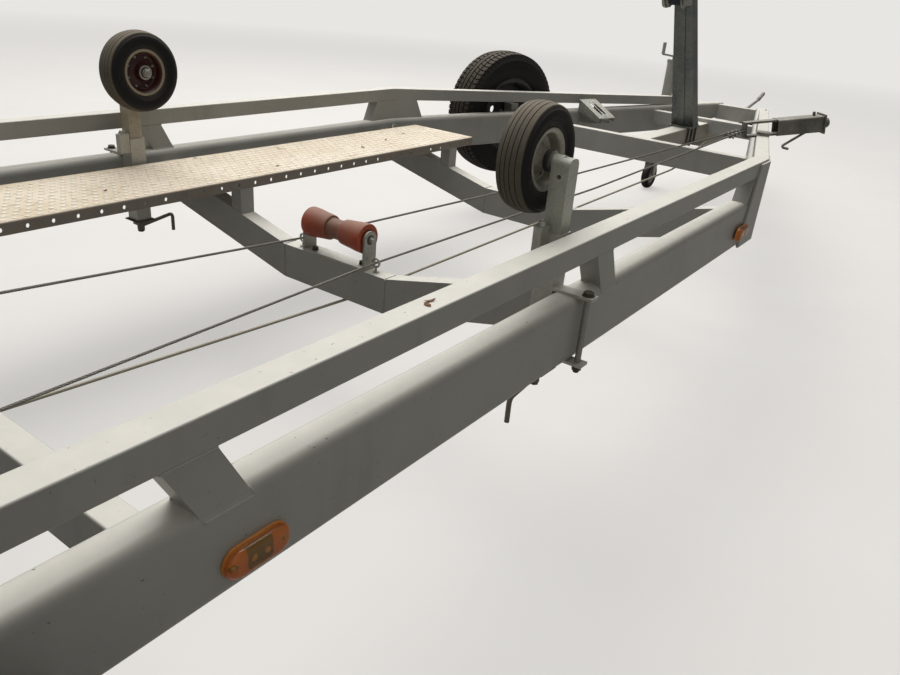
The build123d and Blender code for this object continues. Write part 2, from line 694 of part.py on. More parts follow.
with BuildPart() as spare_rim:
    with BuildSketch(spare_face):
        half = WHEEL_W / 2
        with BuildLine():
            Polyline(
                (half - 54, SPARE_STUD_R + SEAT),
                (half - 62, 84),
                (half - 52, 128),
                (half - 62, 178),
                (half - 20, 188),
                (half - 14, BEAD_R + 14),
                (half - 20, BEAD_R + 14),
                (half - 28, BEAD_R - 0.3),
                (-half + 28, BEAD_R - 0.3),
                (-half + 20, BEAD_R + 14),
                (-half + 14, BEAD_R + 14),
                (-half + 20, 188),
                (half - 80, 168),
                (half - 62, 128),
                (half - 72, 84),
                (half - 64, SPARE_STUD_R + SEAT),
                close=True,
            )
        make_face()
    revolve(axis=spare_axis)
save(spare_rim.part, "spare_rim")

with BuildPart() as spare_tyre:
    revolve(tyre_profile(spare_face, WHEEL_R, WHEEL_W, BEAD_R, 28), axis=spare_axis)
save(spare_tyre.part, "spare_tyre")

# The bracket: a plate on the beam, a tube to the rim's disc, and the stud with its nut
DISC_IN = SPARE_OFF - WHEEL_W / 2 + 54      # the disc's near face at the stud, from the beam's face
with BuildPart() as spare_bracket:
    with BuildSketch(Plane(spare_foot + Vector(0, 0, BEAM_MID - SPARE_Z), x_dir=(cos(TURN), -sin(TURN), 0),
                           z_dir=outward)):
        Rectangle(120, 120)
    extrude(amount=10)
    with BuildSketch(Plane(spare_foot + outward * 10, x_dir=(cos(TURN), -sin(TURN), 0), z_dir=outward)):
        with Locations((0, -30)):
            Rectangle(56, 86)
    extrude(amount=DISC_IN - 10 - SEAT)
    rod(spare_foot + outward * 20, spare_foot + outward * (DISC_IN + 40), SPARE_STUD_R)
save(spare_bracket.part, "spare_bracket")

# Centre tubes: the spine that carries the mast, and the drawbar under the front members
SPINE_W = 104
SPINE_TOP = 595
SPINE_H = 100
DRAWBAR_FRONT = 3180     # ahead of the bend
TUBE_ROUND = 8

with BuildPart() as centre_tubes:
    spine_rear = BEND_X + SPINE_REAR_MEMBER + MEMBER_W
    spine_front = BEND_X + SPINE_FRONT_MEMBER
    with BuildSketch(Plane.YZ.offset(spine_rear)):
        with Locations((0, SPINE_TOP - SPINE_H / 2)):
            RectangleRounded(SPINE_W, SPINE_H, TUBE_ROUND)
    extrude(amount=spine_front - spine_rear)
    with BuildSketch(Plane.YZ.offset(spine_front)):
        with Locations((0, DRAWBAR_TOP - DRAWBAR / 2)):
            RectangleRounded(DRAWBAR, DRAWBAR, TUBE_ROUND)
    extrude(amount=BEND_X + DRAWBAR_FRONT - spine_front)
save(centre_tubes.part, "centre_tubes")

# Winch mast: a folded channel that tapers and leans back over the spine
MAST_AHEAD = 1875
MAST_LEAN = 28.9        # degrees back from upright
MAST_L = 1150
MAST_W = 150
MAST_TOP_W = 100
MAST_D = 80
MAST_TOP_D = 60
MAST_T = 6
MAST_RIDGE = 26         # width of the folded ridge down the mast's back
RIDGE_OUT = 6           # how far the ridge stands out
FOOT_T = 10
FOOT_L = 190
FOOT_W = 150
U_BOLTS = (-70, 0, 70)  # places along the foot
U_BOLT_R = 6
U_BOLT_Y = SPINE_W / 2 + U_BOLT_R + 1
mast_x = BEND_X + MAST_AHEAD
lean = radians(MAST_LEAN)
mast_foot = Vector(mast_x, 0, SPINE_TOP + FOOT_T)
mast_up = Vector(-sin(lean), 0, cos(lean))
mast_front = Vector(cos(lean), 0, sin(lean))


def mast_plane(distance):
    """Plane across the mast this far up it; its first axis points left and its second to the back."""
    return Plane(mast_foot + mast_up * distance, x_dir=(0, 1, 0), z_dir=mast_up)


def mast_size(distance):
    """Width and depth of the mast this far up it."""
    share = distance / MAST_L
    return MAST_W + (MAST_TOP_W - MAST_W) * share, MAST_D + (MAST_TOP_D - MAST_D) * share


def mast_outline(distance):
    """The mast's outer rectangle this far up it."""
    with BuildSketch(mast_plane(distance)) as section:
        Rectangle(*mast_size(distance))
    return section.sketch


def ridge_outline(distance):
    """The folded ridge on the mast's back this far up it."""
    with BuildSketch(mast_plane(distance)) as section:
        with Locations((0, mast_size(distance)[1] / 2)):
            Rectangle(MAST_RIDGE, 2 * RIDGE_OUT)
    return section.sketch


def pocket_outline(distance):
    """The channel's inside this far up the mast, open to the front and one sheet short of the back."""
    width, depth = mast_size(distance)
    with BuildSketch(mast_plane(distance)) as section:
        with Locations((0, -(MAST_T + OVERCUT) / 2)):
            Rectangle(width - 2 * MAST_T, depth - MAST_T + OVERCUT)
    return section.sketch


with BuildPart() as winch_mast:
    loft([mast_outline(distance) for distance in (-MAST_D, MAST_L)])
    loft([ridge_outline(distance) for distance in (-MAST_D, MAST_L)])
    loft([pocket_outline(distance) for distance in (-MAST_D - OVERCUT, MAST_L + OVERCUT)], mode=Mode.SUBTRACT)
    block((mast_x - 400, mast_x + 400), (-MAST_W, MAST_W), (SPINE_TOP - 300, SPINE_TOP + FOOT_T), Mode.SUBTRACT)
    block(
        (mast_x - FOOT_L / 2, mast_x + FOOT_L / 2),
        (-FOOT_W / 2, FOOT_W / 2),
        (SPINE_TOP, SPINE_TOP + FOOT_T),
    )
    for place in U_BOLTS:
        for side in (-1, 1):
            spot = (mast_x + place, side * U_BOLT_Y)
            rod((*spot, SPINE_TOP - 1), (*spot, SPINE_TOP + FOOT_T + 1), U_BOLT_R + SEAT, Mode.SUBTRACT)
save(winch_mast.part, "winch_mast")

with BuildPart() as mast_clamps:
    bar_top = SPINE_TOP - SPINE_H
    for place in U_BOLTS:
        x = mast_x + place
        block((x - 15, x + 15), (-U_BOLT_Y - 12, U_BOLT_Y + 12), (bar_top - STRAP_T, bar_top))
        for side in (-1, 1):
            spot = (x, side * U_BOLT_Y)
            rod((*spot, bar_top - 20), (*spot, SPINE_TOP + FOOT_T + 22), U_BOLT_R)
            with BuildSketch(Plane.XY.offset(SPINE_TOP + FOOT_T)):
                with Locations(spot):
                    RegularPolygon(11, 6)
            extrude(amount=10)
save(mast_clamps.part, "mast_clamps")

# Winch: two cheeks behind the mast's top, with a drum between them, a gear cover and a crank
DRUM_UP = 930           # the drum's shaft, along the mast
DRUM_BACK = 80          # the drum's shaft, behind the mast's back face
DRUM_R = 24
DRUM_FLANGE_R = 52
DRUM_L = 88
CHEEK_T = 5
CHEEK_Y = DRUM_L / 2 + 6
SHAFT_R = 9
drum_share = DRUM_UP / MAST_L
mast_back = (MAST_D + (MAST_TOP_D - MAST_D) * drum_share) / 2 + RIDGE_OUT + 3 * SEAT
drum_mid = mast_foot + mast_up * DRUM_UP - mast_front * (mast_back + DRUM_BACK)


def winch_plane(y):
    """Upright plane along the trailer through the winch, with its first axis up the mast."""
    return Plane(drum_mid + Vector(0, y, 0), x_dir=mast_up, z_dir=(0, 1, 0))


with BuildPart() as winch_frame:
    base = DRUM_BACK - CHEEK_T
    with BuildSketch(winch_plane(-CHEEK_Y - CHEEK_T)):
        with Locations((0, DRUM_BACK - CHEEK_T / 2)):
            Rectangle(150, CHEEK_T)
    extrude(amount=2 * (CHEEK_Y + CHEEK_T))
    for low in (-CHEEK_Y - CHEEK_T, CHEEK_Y):
        with BuildSketch(winch_plane(low)):
            Circle(38)
            with Locations((-65, DRUM_BACK - 8), (65, DRUM_BACK - 8)):
                Circle(8)
            make_hull()
        extrude(amount=CHEEK_T)
    rod(drum_mid - Vector(0, CHEEK_Y + 1, 0), drum_mid + Vector(0, CHEEK_Y + 1, 0), SHAFT_R)
    with BuildSketch(winch_plane(CHEEK_Y + CHEEK_T)):
        Circle(56)
        with Locations((0, 40)):
            Circle(30)
        make_hull()
    extrude(amount=18)
    fillet(winch_frame.faces().sort_by(Axis.Y)[-1].edges(), 5)
    crank_hub = drum_mid + mast_front * 40 + Vector(0, CHEEK_Y + CHEEK_T + 18, 0)
    rod(crank_hub - Vector(0, 4, 0), crank_hub + Vector(0, 14, 0), 12)
    crank_tip = crank_hub + Vector(-190, 8, 60)
    rod(crank_hub + Vector(0, 8, 0), crank_tip, 7)
    rod(crank_tip - Vector(0, 6, 0), crank_tip + Vector(0, 110, 0), 12)
save(winch_frame.part, "winch_frame")

with BuildPart() as winch_drum:
    with BuildSketch(Plane(drum_mid, x_dir=(0, 1, 0), z_dir=mast_up)):
        with BuildLine():
            half = DRUM_L / 2
            Polyline(
                (-half, -SHAFT_R - RUN),
                (-half, -DRUM_FLANGE_R),
                (-half + 4, -DRUM_FLANGE_R),
                (-half + 8, -DRUM_R - 14),
                (half - 8, -DRUM_R - 14),
                (half - 4, -DRUM_FLANGE_R),
                (half, -DRUM_FLANGE_R),
                (half, -SHAFT_R - RUN),
                close=True,
            )
        make_face()
    revolve(axis=Axis(drum_mid, (0, 1, 0)))
save(winch_drum.part, "winch_drum")

# Bow stop: a rubber V block on an arm above the winch
STOP_UP = 1075
STOP_W = 170
STOP_T = 60
stop_share = STOP_UP / MAST_L
stop_back = (MAST_D + (MAST_TOP_D - MAST_D) * stop_share) / 2 + RIDGE_OUT + 2 * SEAT
stop_mid = mast_foot + mast_up * STOP_UP - mast_front * stop_back
with BuildPart() as bow_stop:
    with BuildSketch(Plane(stop_mid + mast_up * -STOP_T / 2, x_dir=-mast_front, z_dir=mast_up)):
        with BuildLine():
            Polyline(
                (0, -40), (30, -STOP_W / 2), (110, -STOP_W / 2), (110, -STOP_W / 2 + 22), (46, 0),
                (110, STOP_W / 2 - 22), (110, STOP_W / 2), (30, STOP_W / 2), (0, 40), close=True,
            )
        make_face()
    extrude(amount=STOP_T)
save(bow_stop.part, "bow_stop")

# Handbrake lever's places, and sizes of the wires' eyes
LEVER_X = BEND_X + 3153
LEVER_Z = 586
LEVER_KNEE = (BEND_X + 3532, 0, 655)
LEVER_TIP = (BEND_X + 3657, 0, 700)
LEVER_GRIP = Vector(110, 0, 40)
WIRE_SAG = 18
WIRE_SPREAD = 14         # the wires' ends in the yoke, from its middle
EYE_RING_R = 14
EYE_WIRE_R = 4
TIE_RING_AHEAD = -28
TIE_RING_Z = 610
YOKE_L = 160

# Overrun coupling: a cast housing on the drawbar, its draw tube, a rubber gaiter and the ball head
HOUSING = (3040, 3300)  # ahead of the bend
HOUSING_W = 124
HOUSING_TOP = 556
DRAW_TUBE_R = 28
DRAW_Z = 490
HEAD_REAR = 3450
BALL_AHEAD = 3730       # middle of the ball socket
BALL_Z = 462
SOCKET_R = 25.3
SOCKET_L = 14
HEAD_W = 74

with BuildPart() as overrun_coupling:
    rear, front = (BEND_X + ahead for ahead in HOUSING)
    with BuildSketch(Plane.YZ.offset(rear)):
        with Locations((0, (DRAWBAR_TOP + HOUSING_TOP) / 2)):
            RectangleRounded(DRAWBAR, HOUSING_TOP - DRAWBAR_TOP, 8)
    extrude(amount=BEND_X + DRAWBAR_FRONT - rear)
    with BuildSketch(Plane.YZ.offset(BEND_X + DRAWBAR_FRONT)):
        with Locations((0, (DRAWBAR_TOP - DRAWBAR + HOUSING_TOP) / 2)):
            RectangleRounded(HOUSING_W, HOUSING_TOP - DRAWBAR_TOP + DRAWBAR, 12)
    with BuildSketch(Plane.YZ.offset(front)):
        with Locations((0, DRAW_Z)):
            RectangleRounded(88, 88, 30)
    loft()
    rod((front - 10, 0, DRAW_Z), (BEND_X + HEAD_REAR + 20, 0, DRAW_Z), DRAW_TUBE_R)
    with BuildSketch(Plane.YZ.offset(BEND_X + HEAD_REAR)):
        with Locations((0, DRAW_Z)):
            RectangleRounded(HEAD_W, 76, 24)
    with BuildSketch(Plane.YZ.offset(BEND_X + BALL_AHEAD - 50)):
        with Locations((0, DRAW_Z - 4)):
            RectangleRounded(HEAD_W, 62, 20)
    loft()
    with BuildSketch(Plane.XY.offset(BALL_Z - SOCKET_L)):
        with Locations((BEND_X + BALL_AHEAD, 0)):
            Circle(NOSE_AHEAD - BALL_AHEAD)
        with Locations((BEND_X + BALL_AHEAD - 40, 0)):
            Rectangle(60, HEAD_W - 12)
        make_hull()
    extrude(amount=60, taper=8)
    with Locations((BEND_X + BALL_AHEAD, 0, BALL_Z)):
        Sphere(SOCKET_R, mode=Mode.SUBTRACT)
    rod(
        (BEND_X + BALL_AHEAD, 0, BALL_Z - SOCKET_L - 1),
        (BEND_X + BALL_AHEAD, 0, BALL_Z),
        SOCKET_R,
        Mode.SUBTRACT,
    )
    rod((BEND_X + BALL_AHEAD - 130, 0, DRAW_Z + 20), (BEND_X + BALL_AHEAD + 20, 0, DRAW_Z + 62), 11)
    for side in (-1, 1):
        with BuildSketch(Plane.XZ.offset(-side * 22 - 4)):
            with Locations((LEVER_X - 20, HOUSING_TOP)):
                Rectangle(60, 10, align=(Align.CENTER, Align.MIN))
            with Locations((LEVER_X, LEVER_Z)):
                Circle(16)
            make_hull()
        extrude(amount=8)
save(overrun_coupling.part, "overrun_coupling")

with BuildPart() as gaiter:
    ribs = 6
    low = BEND_X + HOUSING[1] + SEAT
    high = BEND_X + HEAD_REAR - SEAT
    step = (high - low) / ribs
    with BuildSketch(Plane.XZ):
        with BuildLine():
            points = [(low, DRAW_Z + DRAW_TUBE_R + SEAT)]
            for rib in range(ribs):
                points.append((low + rib * step, DRAW_Z + 34))
                points.append((low + (rib + 0.5) * step, DRAW_Z + 44))
            points.append((high, DRAW_Z + 34))
            points.append((high, DRAW_Z + DRAW_TUBE_R + SEAT))
            Polyline(*points, close=True)
        make_face()
    revolve(axis=Axis((0, 0, DRAW_Z), (1, 0, 0)))
save(gaiter.part, "drawtube_gaiter")

# Handbrake lever, with its grip and gas spring
with BuildPart() as handbrake_lever:
    rod((LEVER_X, -22 + 4.3, LEVER_Z), (LEVER_X, 22 - 4.3, LEVER_Z), 14)
    bent_rod([(LEVER_X, 0, LEVER_Z), LEVER_KNEE, LEVER_TIP], 11, 60)
    rod(Vector(*LEVER_TIP) - LEVER_GRIP, LEVER_TIP, 15)
save(handbrake_lever.part, "handbrake_lever")

# Place of the wire tensioner: its tube's inner and outer ends over the right rail
TUBE_W = 78
TENSIONER_AHEAD = 831   # its saddle on the rail and its crank


def right_spot(ahead, out, z):
    """Point this far ahead of the bend, outside the right side frame and above the floor."""
    return Vector(BEND_X + ahead, -side_y(BEND_X + ahead) - out, z)


tube_rear = right_spot(TENSIONER_AHEAD + 15, 17, 819)
tube_front = right_spot(TENSIONER_AHEAD + 154, 228, 855)
along = (tube_front - tube_rear).normalized()
across = Vector(0, 0, 1).cross(along).normalized()
upward = along.cross(across)
yoke_face = tube_rear - along * YOKE_L

# Brake rod and the two taut wires, with their eyes
WIRE_R = 4
EYE_Z = 470
WIRE_Y = 175
WIRE_END_Y = (119, -178)
with BuildPart() as brake_rod:
    bent_rod([ROD_REAR, ROD_LOW, ROD_GUIDE, ROD_DRAWBAR, ROD_FRONT], ROD_R, 400)
save(brake_rod.part, "brake_rod")

eye_x = BEND_X + DROP_REARS[1] + MEMBER_W / 2
rest_x = BEND_X + STRAIGHT_MEMBERS[1][0] + MEMBER_W / 2
REST_BOTTOM = STRAIGHT_MEMBERS[1][1] - STRAIGHT_MEMBERS[1][2]
WIRE_ENDS = (
    ((rest_x, WIRE_END_Y[0], REST_TOP + 26), WIRE_Y, WIRE_SPREAD),
    ((rest_x, WIRE_END_Y[1], REST_BOTTOM - 26), -WIRE_Y, -WIRE_SPREAD),
)
with BuildPart() as pull_wires:
    for end, eye_y, spread in WIRE_ENDS:
        eye = Vector(eye_x, eye_y, EYE_Z)
        yoke_end = yoke_face + across * spread + along * 6
        mid = (eye + yoke_end) / 2 - Vector(0, 0, WIRE_SAG)
        bent_rod([end, eye, mid, yoke_end], WIRE_R, 60)
save(pull_wires.part, "pull_wires")

with BuildPart() as eye_bolts:
    for spot, seat in (
        ((eye_x, WIRE_Y, EYE_Z), DROP_TOP),
        ((eye_x, -WIRE_Y, EYE_Z), DROP_TOP),
        ((rest_x, WIRE_END_Y[0], REST_TOP + 26), REST_TOP),
        ((rest_x, WIRE_END_Y[1], REST_BOTTOM - 26), REST_BOTTOM),
    ):
        with Locations(Plane(spot, z_dir=(1, 0, 0))):
            Torus(EYE_RING_R, EYE_WIRE_R)
        below = 1 if seat < spot[2] else -1
        rod((spot[0], spot[1], seat), (spot[0], spot[1], spot[2] - below * EYE_RING_R), EYE_WIRE_R)
        rod((spot[0], spot[1], seat), (spot[0], spot[1], seat + below * 5), 11)
    ring_spot = (BEND_X + TIE_RING_AHEAD, ARM_END - 24, TIE_RING_Z)
    rod((ring_spot[0], ARM_END - 14, TIE_RING_Z), (ring_spot[0], ARM_END, TIE_RING_Z), 16)
    with Locations(Plane((ring_spot[0], ring_spot[1] + 6, TIE_RING_Z - 14), z_dir=(0, 1, -0.4))):
        Torus(26, 4.5)
save(eye_bolts.part, "eye_bolts")


# Wire tensioner: a square tube over the right rail, with a yoke at its inner end and a crank below
def tube_plane(origin):
    """Plane across the tensioner's tube, with its first axis level and its second upward."""
    return Plane(origin, x_dir=across, z_dir=along)


with BuildPart() as wire_tensioner:
    tube_l = (tube_front - tube_rear).length
    with BuildSketch(tube_plane(tube_rear)):
        RectangleRounded(TUBE_W, TUBE_W, 8)
        RectangleRounded(TUBE_W - 12, TUBE_W - 12, 4, mode=Mode.SUBTRACT)
    extrude(amount=tube_l)
    with BuildSketch(tube_plane(tube_front)):
        Rectangle(TUBE_W + 14, TUBE_W + 14)
    extrude(amount=8)
    with BuildSketch(tube_plane(tube_front + along * 8)):
        Circle(25)
    extrude(amount=34)
    fillet(wire_tensioner.faces().sort_by(Axis(tube_rear, along))[-1].edges(), 14)
    for lift in (-1, 1):
        with BuildSketch(tube_plane(yoke_face)):
            with Locations((0, lift * (TUBE_W / 2 - 6))):
                Rectangle(40, 10)
        extrude(amount=YOKE_L + 30)
    with BuildSketch(tube_plane(yoke_face)):
        Rectangle(44, TUBE_W - 2)
    extrude(amount=12)
    rod(tube_rear + along * 190 + upward * 38, tube_rear + along * 190 + upward * 58, 7)
    crank_top = tube_rear + along * 170 - upward * 34
    bent_rod(
        [
            crank_top,
            crank_top + Vector(-20, 18, -16),
            right_spot(TENSIONER_AHEAD, 64, 731),
            right_spot(TENSIONER_AHEAD + 20, 105, 725),
        ],
        6,
        8,
    )
    saddle_mid = BEND_X + TENSIONER_AHEAD
    with BuildSketch(Plane.XY.offset(RAIL_BOTTOM)):
        with Locations((saddle_mid, -side_y(saddle_mid, RAIL / 2))):
            Rectangle(80, RAIL, rotation=CONVERGE)
    extrude(amount=tube_rear.Z - RAIL_BOTTOM - 30)
    add(top_rails.part, mode=Mode.SUBTRACT)
    add(pull_wires.part, mode=Mode.SUBTRACT)
save(wire_tensioner.part, "wire_tensioner")

# Lamps: side markers on the beams' outer faces and tail lamps on the tail member
MARKERS = ((-2666, 530), (-211, 541), (-5600, 530))     # ahead of the bend, height
MARKER_L = 130
MARKER_H = 58
MARKER_T = 20
with BuildPart() as marker_lights:
    for ahead, z in MARKERS:
        with BuildSketch(Plane.XZ.offset(-FRAME_HALF)):
            with Locations((BEND_X + ahead, z)):
                SlotOverall(MARKER_L, MARKER_H)
        extrude(amount=-MARKER_T - (PLATE_T if ahead > -1000 else 0))
    fillet(marker_lights.faces().filter_by(Axis.Y).group_by(Axis.Y)[-1].edges(), 8)
    add(bend_plates.part, mode=Mode.SUBTRACT)
    mirror(about=Plane.XZ)
save(marker_lights.part, "marker_lights")

TAIL_LAMP_Y = 840
TAIL_LAMP_L = 230
TAIL_LAMP_H = 110
with BuildPart() as tail_lights:
    with BuildSketch(Plane.YZ.offset(TAIL_X)):
        with Locations((TAIL_LAMP_Y, TAIL_TOP - TAIL_H / 2)):
            RectangleRounded(TAIL_LAMP_L, TAIL_LAMP_H, 14)
    extrude(amount=LAMP_DEPTH)
    mirror(about=Plane.XZ)
save(tail_lights.part, "tail_lights")

# Wheel chock: a low wedge that lies on a holder on the left beam's inner face, sloping down to the middle
CHOCK_AHEAD = 1405      # rear side of the chock, ahead of the bend
CHOCK_W = 155           # along the beam
CHOCK_RUN = 190         # from the beam inward
CHOCK_HIGH = 717        # top of the slope, at the beam
CHOCK_LOW = 627         # foot of the slope
CHOCK_SEAT = 640        # underside, at the beam
CHOCK_TOE = 600         # underside, at the foot
HOLDER_T = 6
HOLDER_BOTTOM = 560
HOLDER_IN = 20          # the holder's ends, inside the chock's sides

with BuildPart() as wheel_chock:
    chock_x = BEND_X + CHOCK_AHEAD
    chock_plane = Plane(
        (chock_x, side_y(chock_x, BEAM_W), 0),
        x_dir=(-sin(TURN), -cos(TURN), 0),
        z_dir=(cos(TURN), -sin(TURN), 0),
    )
    with BuildSketch(chock_plane):
        with BuildLine():
            Polyline(
                (0, -CHOCK_HIGH),
                (CHOCK_RUN, -CHOCK_LOW),
                (CHOCK_RUN, -CHOCK_TOE),
                (0, -CHOCK_SEAT),
                close=True,
            )
        make_face()
    extrude(amount=CHOCK_W)
    with BuildSketch(chock_plane.offset(HOLDER_IN)):
        with Locations((HOLDER_T / 2, -(CHOCK_SEAT + HOLDER_T + HOLDER_BOTTOM) / 2)):
            Rectangle(HOLDER_T, CHOCK_SEAT + HOLDER_T - HOLDER_BOTTOM)
    extrude(amount=CHOCK_W - 2 * HOLDER_IN)
save(wheel_chock.part, "wheel_chock")

# Jockey wheel: an outer tube clamped outside the left beam, a sliding leg, a swivelling fork and a wheel
JOCKEY_AHEAD = 2520
JOCKEY_TUBE_R = 38
JOCKEY_LEG_R = 30
JOCKEY_OFF = 12         # gap between the beam and the tube
JOCKEY_TOP = 930
JOCKEY_TUBE_BOTTOM = 470
LEG_BOTTOM = 236
LEG_TOP = 740
JOCKEY_WHEEL_R = 100
JOCKEY_WHEEL_W = 58
JOCKEY_TRAIL = 45
FORK_T = 6
KINGPIN_R = 12
jockey_x = BEND_X + JOCKEY_AHEAD
jockey_y = side_y(jockey_x) + (JOCKEY_TUBE_R + JOCKEY_OFF) / cos(TURN)

with BuildPart() as jockey_tube:
    with BuildSketch(Plane.XY.offset(JOCKEY_TUBE_BOTTOM)):
        with Locations((jockey_x, jockey_y)):
            Circle(JOCKEY_TUBE_R)
            Circle(JOCKEY_LEG_R + SLIDE, mode=Mode.SUBTRACT)
    extrude(amount=JOCKEY_TOP - JOCKEY_TUBE_BOTTOM)
    with BuildSketch(Plane.XY.offset(JOCKEY_TOP)):
        with Locations((jockey_x, jockey_y)):
            Circle(JOCKEY_TUBE_R + 4)
    extrude(amount=22)
    rod((jockey_x, jockey_y, JOCKEY_TOP + 20), (jockey_x, jockey_y, JOCKEY_TOP + 50), 9)
    tip = (jockey_x - 120, jockey_y + 40, JOCKEY_TOP + 58)
    rod((jockey_x + 6, jockey_y - 2, JOCKEY_TOP + 44), tip, 7)
    rod(tip, (tip[0], tip[1], tip[2] + 80), 12)
    for low in (BEAM_MID - 60, BEAM_MID + 20):
        with BuildSketch(Plane.XY.offset(low)):
            with Locations((jockey_x, jockey_y)):
                Circle(JOCKEY_TUBE_R + 8)
            clamp_mid = Vector(jockey_x, jockey_y, 0) - outward * ((JOCKEY_TUBE_R + JOCKEY_OFF) / 2)
            with Locations((clamp_mid.X, clamp_mid.Y)):
                Rectangle(90, JOCKEY_TUBE_R + JOCKEY_OFF, rotation=-CONVERGE)
            with Locations((jockey_x, jockey_y)):
                Circle(JOCKEY_LEG_R + SLIDE, mode=Mode.SUBTRACT)
        extrude(amount=40)
save(jockey_tube.part, "jockey_tube")

with BuildPart() as jockey_leg:
    with BuildSketch(Plane.XY.offset(LEG_BOTTOM)):
        with Locations((jockey_x, jockey_y)):
            Circle(JOCKEY_LEG_R)
    extrude(amount=LEG_TOP - LEG_BOTTOM)
    rod(
        (jockey_x, jockey_y, LEG_BOTTOM - 1),
        (jockey_x, jockey_y, LEG_BOTTOM + 60),
        KINGPIN_R + RUN,
        Mode.SUBTRACT,
    )
save(jockey_leg.part, "jockey_leg")

with BuildPart() as jockey_fork:
    fork_top = LEG_BOTTOM - SEAT
    cheek = JOCKEY_WHEEL_W / 2 + 5
    axle_x = jockey_x - JOCKEY_TRAIL
    rod((jockey_x, jockey_y, fork_top - 4), (jockey_x, jockey_y, LEG_BOTTOM + 50), KINGPIN_R)
    block(
        (axle_x - 26, jockey_x + 34),
        (jockey_y - cheek - FORK_T, jockey_y + cheek + FORK_T),
        (fork_top - 8, fork_top),
    )
    for low in (jockey_y - cheek - FORK_T, jockey_y + cheek):
        with BuildSketch(Plane.XZ.offset(-low - FORK_T)):
            with Locations((axle_x, JOCKEY_WHEEL_R)):
                Circle(20)
            with Locations((axle_x + 4, fork_top - 4)):
                Rectangle(60, 8)
            make_hull()
        extrude(amount=FORK_T)
    rod(
        (axle_x, jockey_y - cheek - FORK_T - 8, JOCKEY_WHEEL_R),
        (axle_x, jockey_y + cheek + FORK_T + 8, JOCKEY_WHEEL_R),
        8,
    )
save(jockey_fork.part, "jockey_fork")

with BuildPart() as jockey_wheel:
    with BuildSketch(Plane((axle_x, jockey_y, JOCKEY_WHEEL_R), x_dir=(0, 1, 0), z_dir=(1, 0, 0))):
        half = JOCKEY_WHEEL_W / 2
        with BuildLine():
            Polyline(
                (-half, -8 - RUN), (-half, -24), (-half + 12, -28), (-half + 12, -58), (-half + 2, -66),
                (-half + 2, -86), (-half + 14, -JOCKEY_WHEEL_R + 3), (0, -JOCKEY_WHEEL_R),
                (half - 14, -JOCKEY_WHEEL_R + 3), (half - 2, -86), (half - 2, -66), (half - 12, -58),
                (half - 12, -28), (half, -24), (half, -8 - RUN), close=True,
            )
        make_face()
    revolve(axis=Axis((axle_x, jockey_y, JOCKEY_WHEEL_R), (0, 1, 0)))
save(jockey_wheel.part, "jockey_wheel")
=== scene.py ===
"""A tandem-axle boat trailer: the finish of every part, and the fittings that its plain solids leave out."""

import logging
from collections.abc import Callable, Sequence
from dataclasses import dataclass, field
from enum import Enum
from math import cos, pi, radians, sin, tan

import bmesh
import bpy
import numpy as np
from mathutils import Matrix, Vector


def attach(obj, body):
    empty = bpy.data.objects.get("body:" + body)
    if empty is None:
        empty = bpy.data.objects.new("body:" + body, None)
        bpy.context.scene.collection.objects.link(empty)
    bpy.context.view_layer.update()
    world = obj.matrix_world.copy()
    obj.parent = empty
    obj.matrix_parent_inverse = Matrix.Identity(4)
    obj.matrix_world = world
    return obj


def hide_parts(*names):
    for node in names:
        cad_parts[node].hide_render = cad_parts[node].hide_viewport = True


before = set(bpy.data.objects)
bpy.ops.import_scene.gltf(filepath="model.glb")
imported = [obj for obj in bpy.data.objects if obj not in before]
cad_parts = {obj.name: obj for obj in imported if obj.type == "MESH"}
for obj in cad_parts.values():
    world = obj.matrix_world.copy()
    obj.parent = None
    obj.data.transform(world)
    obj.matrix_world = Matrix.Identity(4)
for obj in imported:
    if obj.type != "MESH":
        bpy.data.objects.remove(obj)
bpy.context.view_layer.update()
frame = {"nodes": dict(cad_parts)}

Points = np.ndarray
Pair = tuple[float, float]
Triple = tuple[float, float, float]
Colour = tuple[int, int, int]       # 0 to 255 on a screen
Outline = Sequence[Pair]
Material = bpy.types.Material
Number = "Value | float"
LOG = logging.getLogger("trailer")

# Driving places of the frame, in metres
BEND_X = 1.36               # where the side frames start to converge
FRAME_HALF = 1.015          # outer faces of beams and rails
CONVERGE = radians(14.75)
BEAM_W = 0.08
BEAM_TOP = 0.65
BEAM_BOTTOM = 0.47
RAIL = 0.06                 # square rail of the side frames
RAIL_TOP = 0.805
RAIL_BOTTOM = RAIL_TOP - RAIL
MEMBER = 0.06               # width of the cross-members
DROPPED_REARS = (-2.86, -0.09, 1.23)    # rear faces of the dropped members
DROP_FLAT = 0.241           # half the width of their flat middle
DROP_TOP = 0.437
DROP_BOTTOM = 0.311
DROP_RISE = 0.24            # slope of their arms
WHEELS_X = (-2.074, -2.874) # middles of the front and rear road wheels
AXLE_AHEAD = 0.16           # axle tubes ahead of the wheels' middles
AXLE_Z = 0.37
CREASE = radians(35)        # edges with a larger angle are sharp
MM = 0.001                  # turned sections are written in millimetres
SIDES = (-1, 1)
FRAME = "frame"


def unit(vector: Points) -> Points:
    """The same direction with a length of one."""
    return vector / np.linalg.norm(vector, axis=-1, keepdims=True)


def side_y(x: float, inside: float = 0.0) -> float:
    """How far a line along the side frame lies from the middle.

    Args:
        x: place along the trailer.
        inside: how far the line runs inside the outer faces.

    Returns:
        The distance from the middle, level behind the bend and falling ahead of it.
    """
    if x <= BEND_X - inside * tan(CONVERGE / 2):
        return FRAME_HALF - inside
    return FRAME_HALF - inside / cos(CONVERGE) - tan(CONVERGE) * (x - BEND_X)


def drop_top(distance: float) -> float:
    """Height of a dropped member's arm at a distance from the middle."""
    return DROP_TOP + DROP_RISE * (distance - DROP_FLAT)


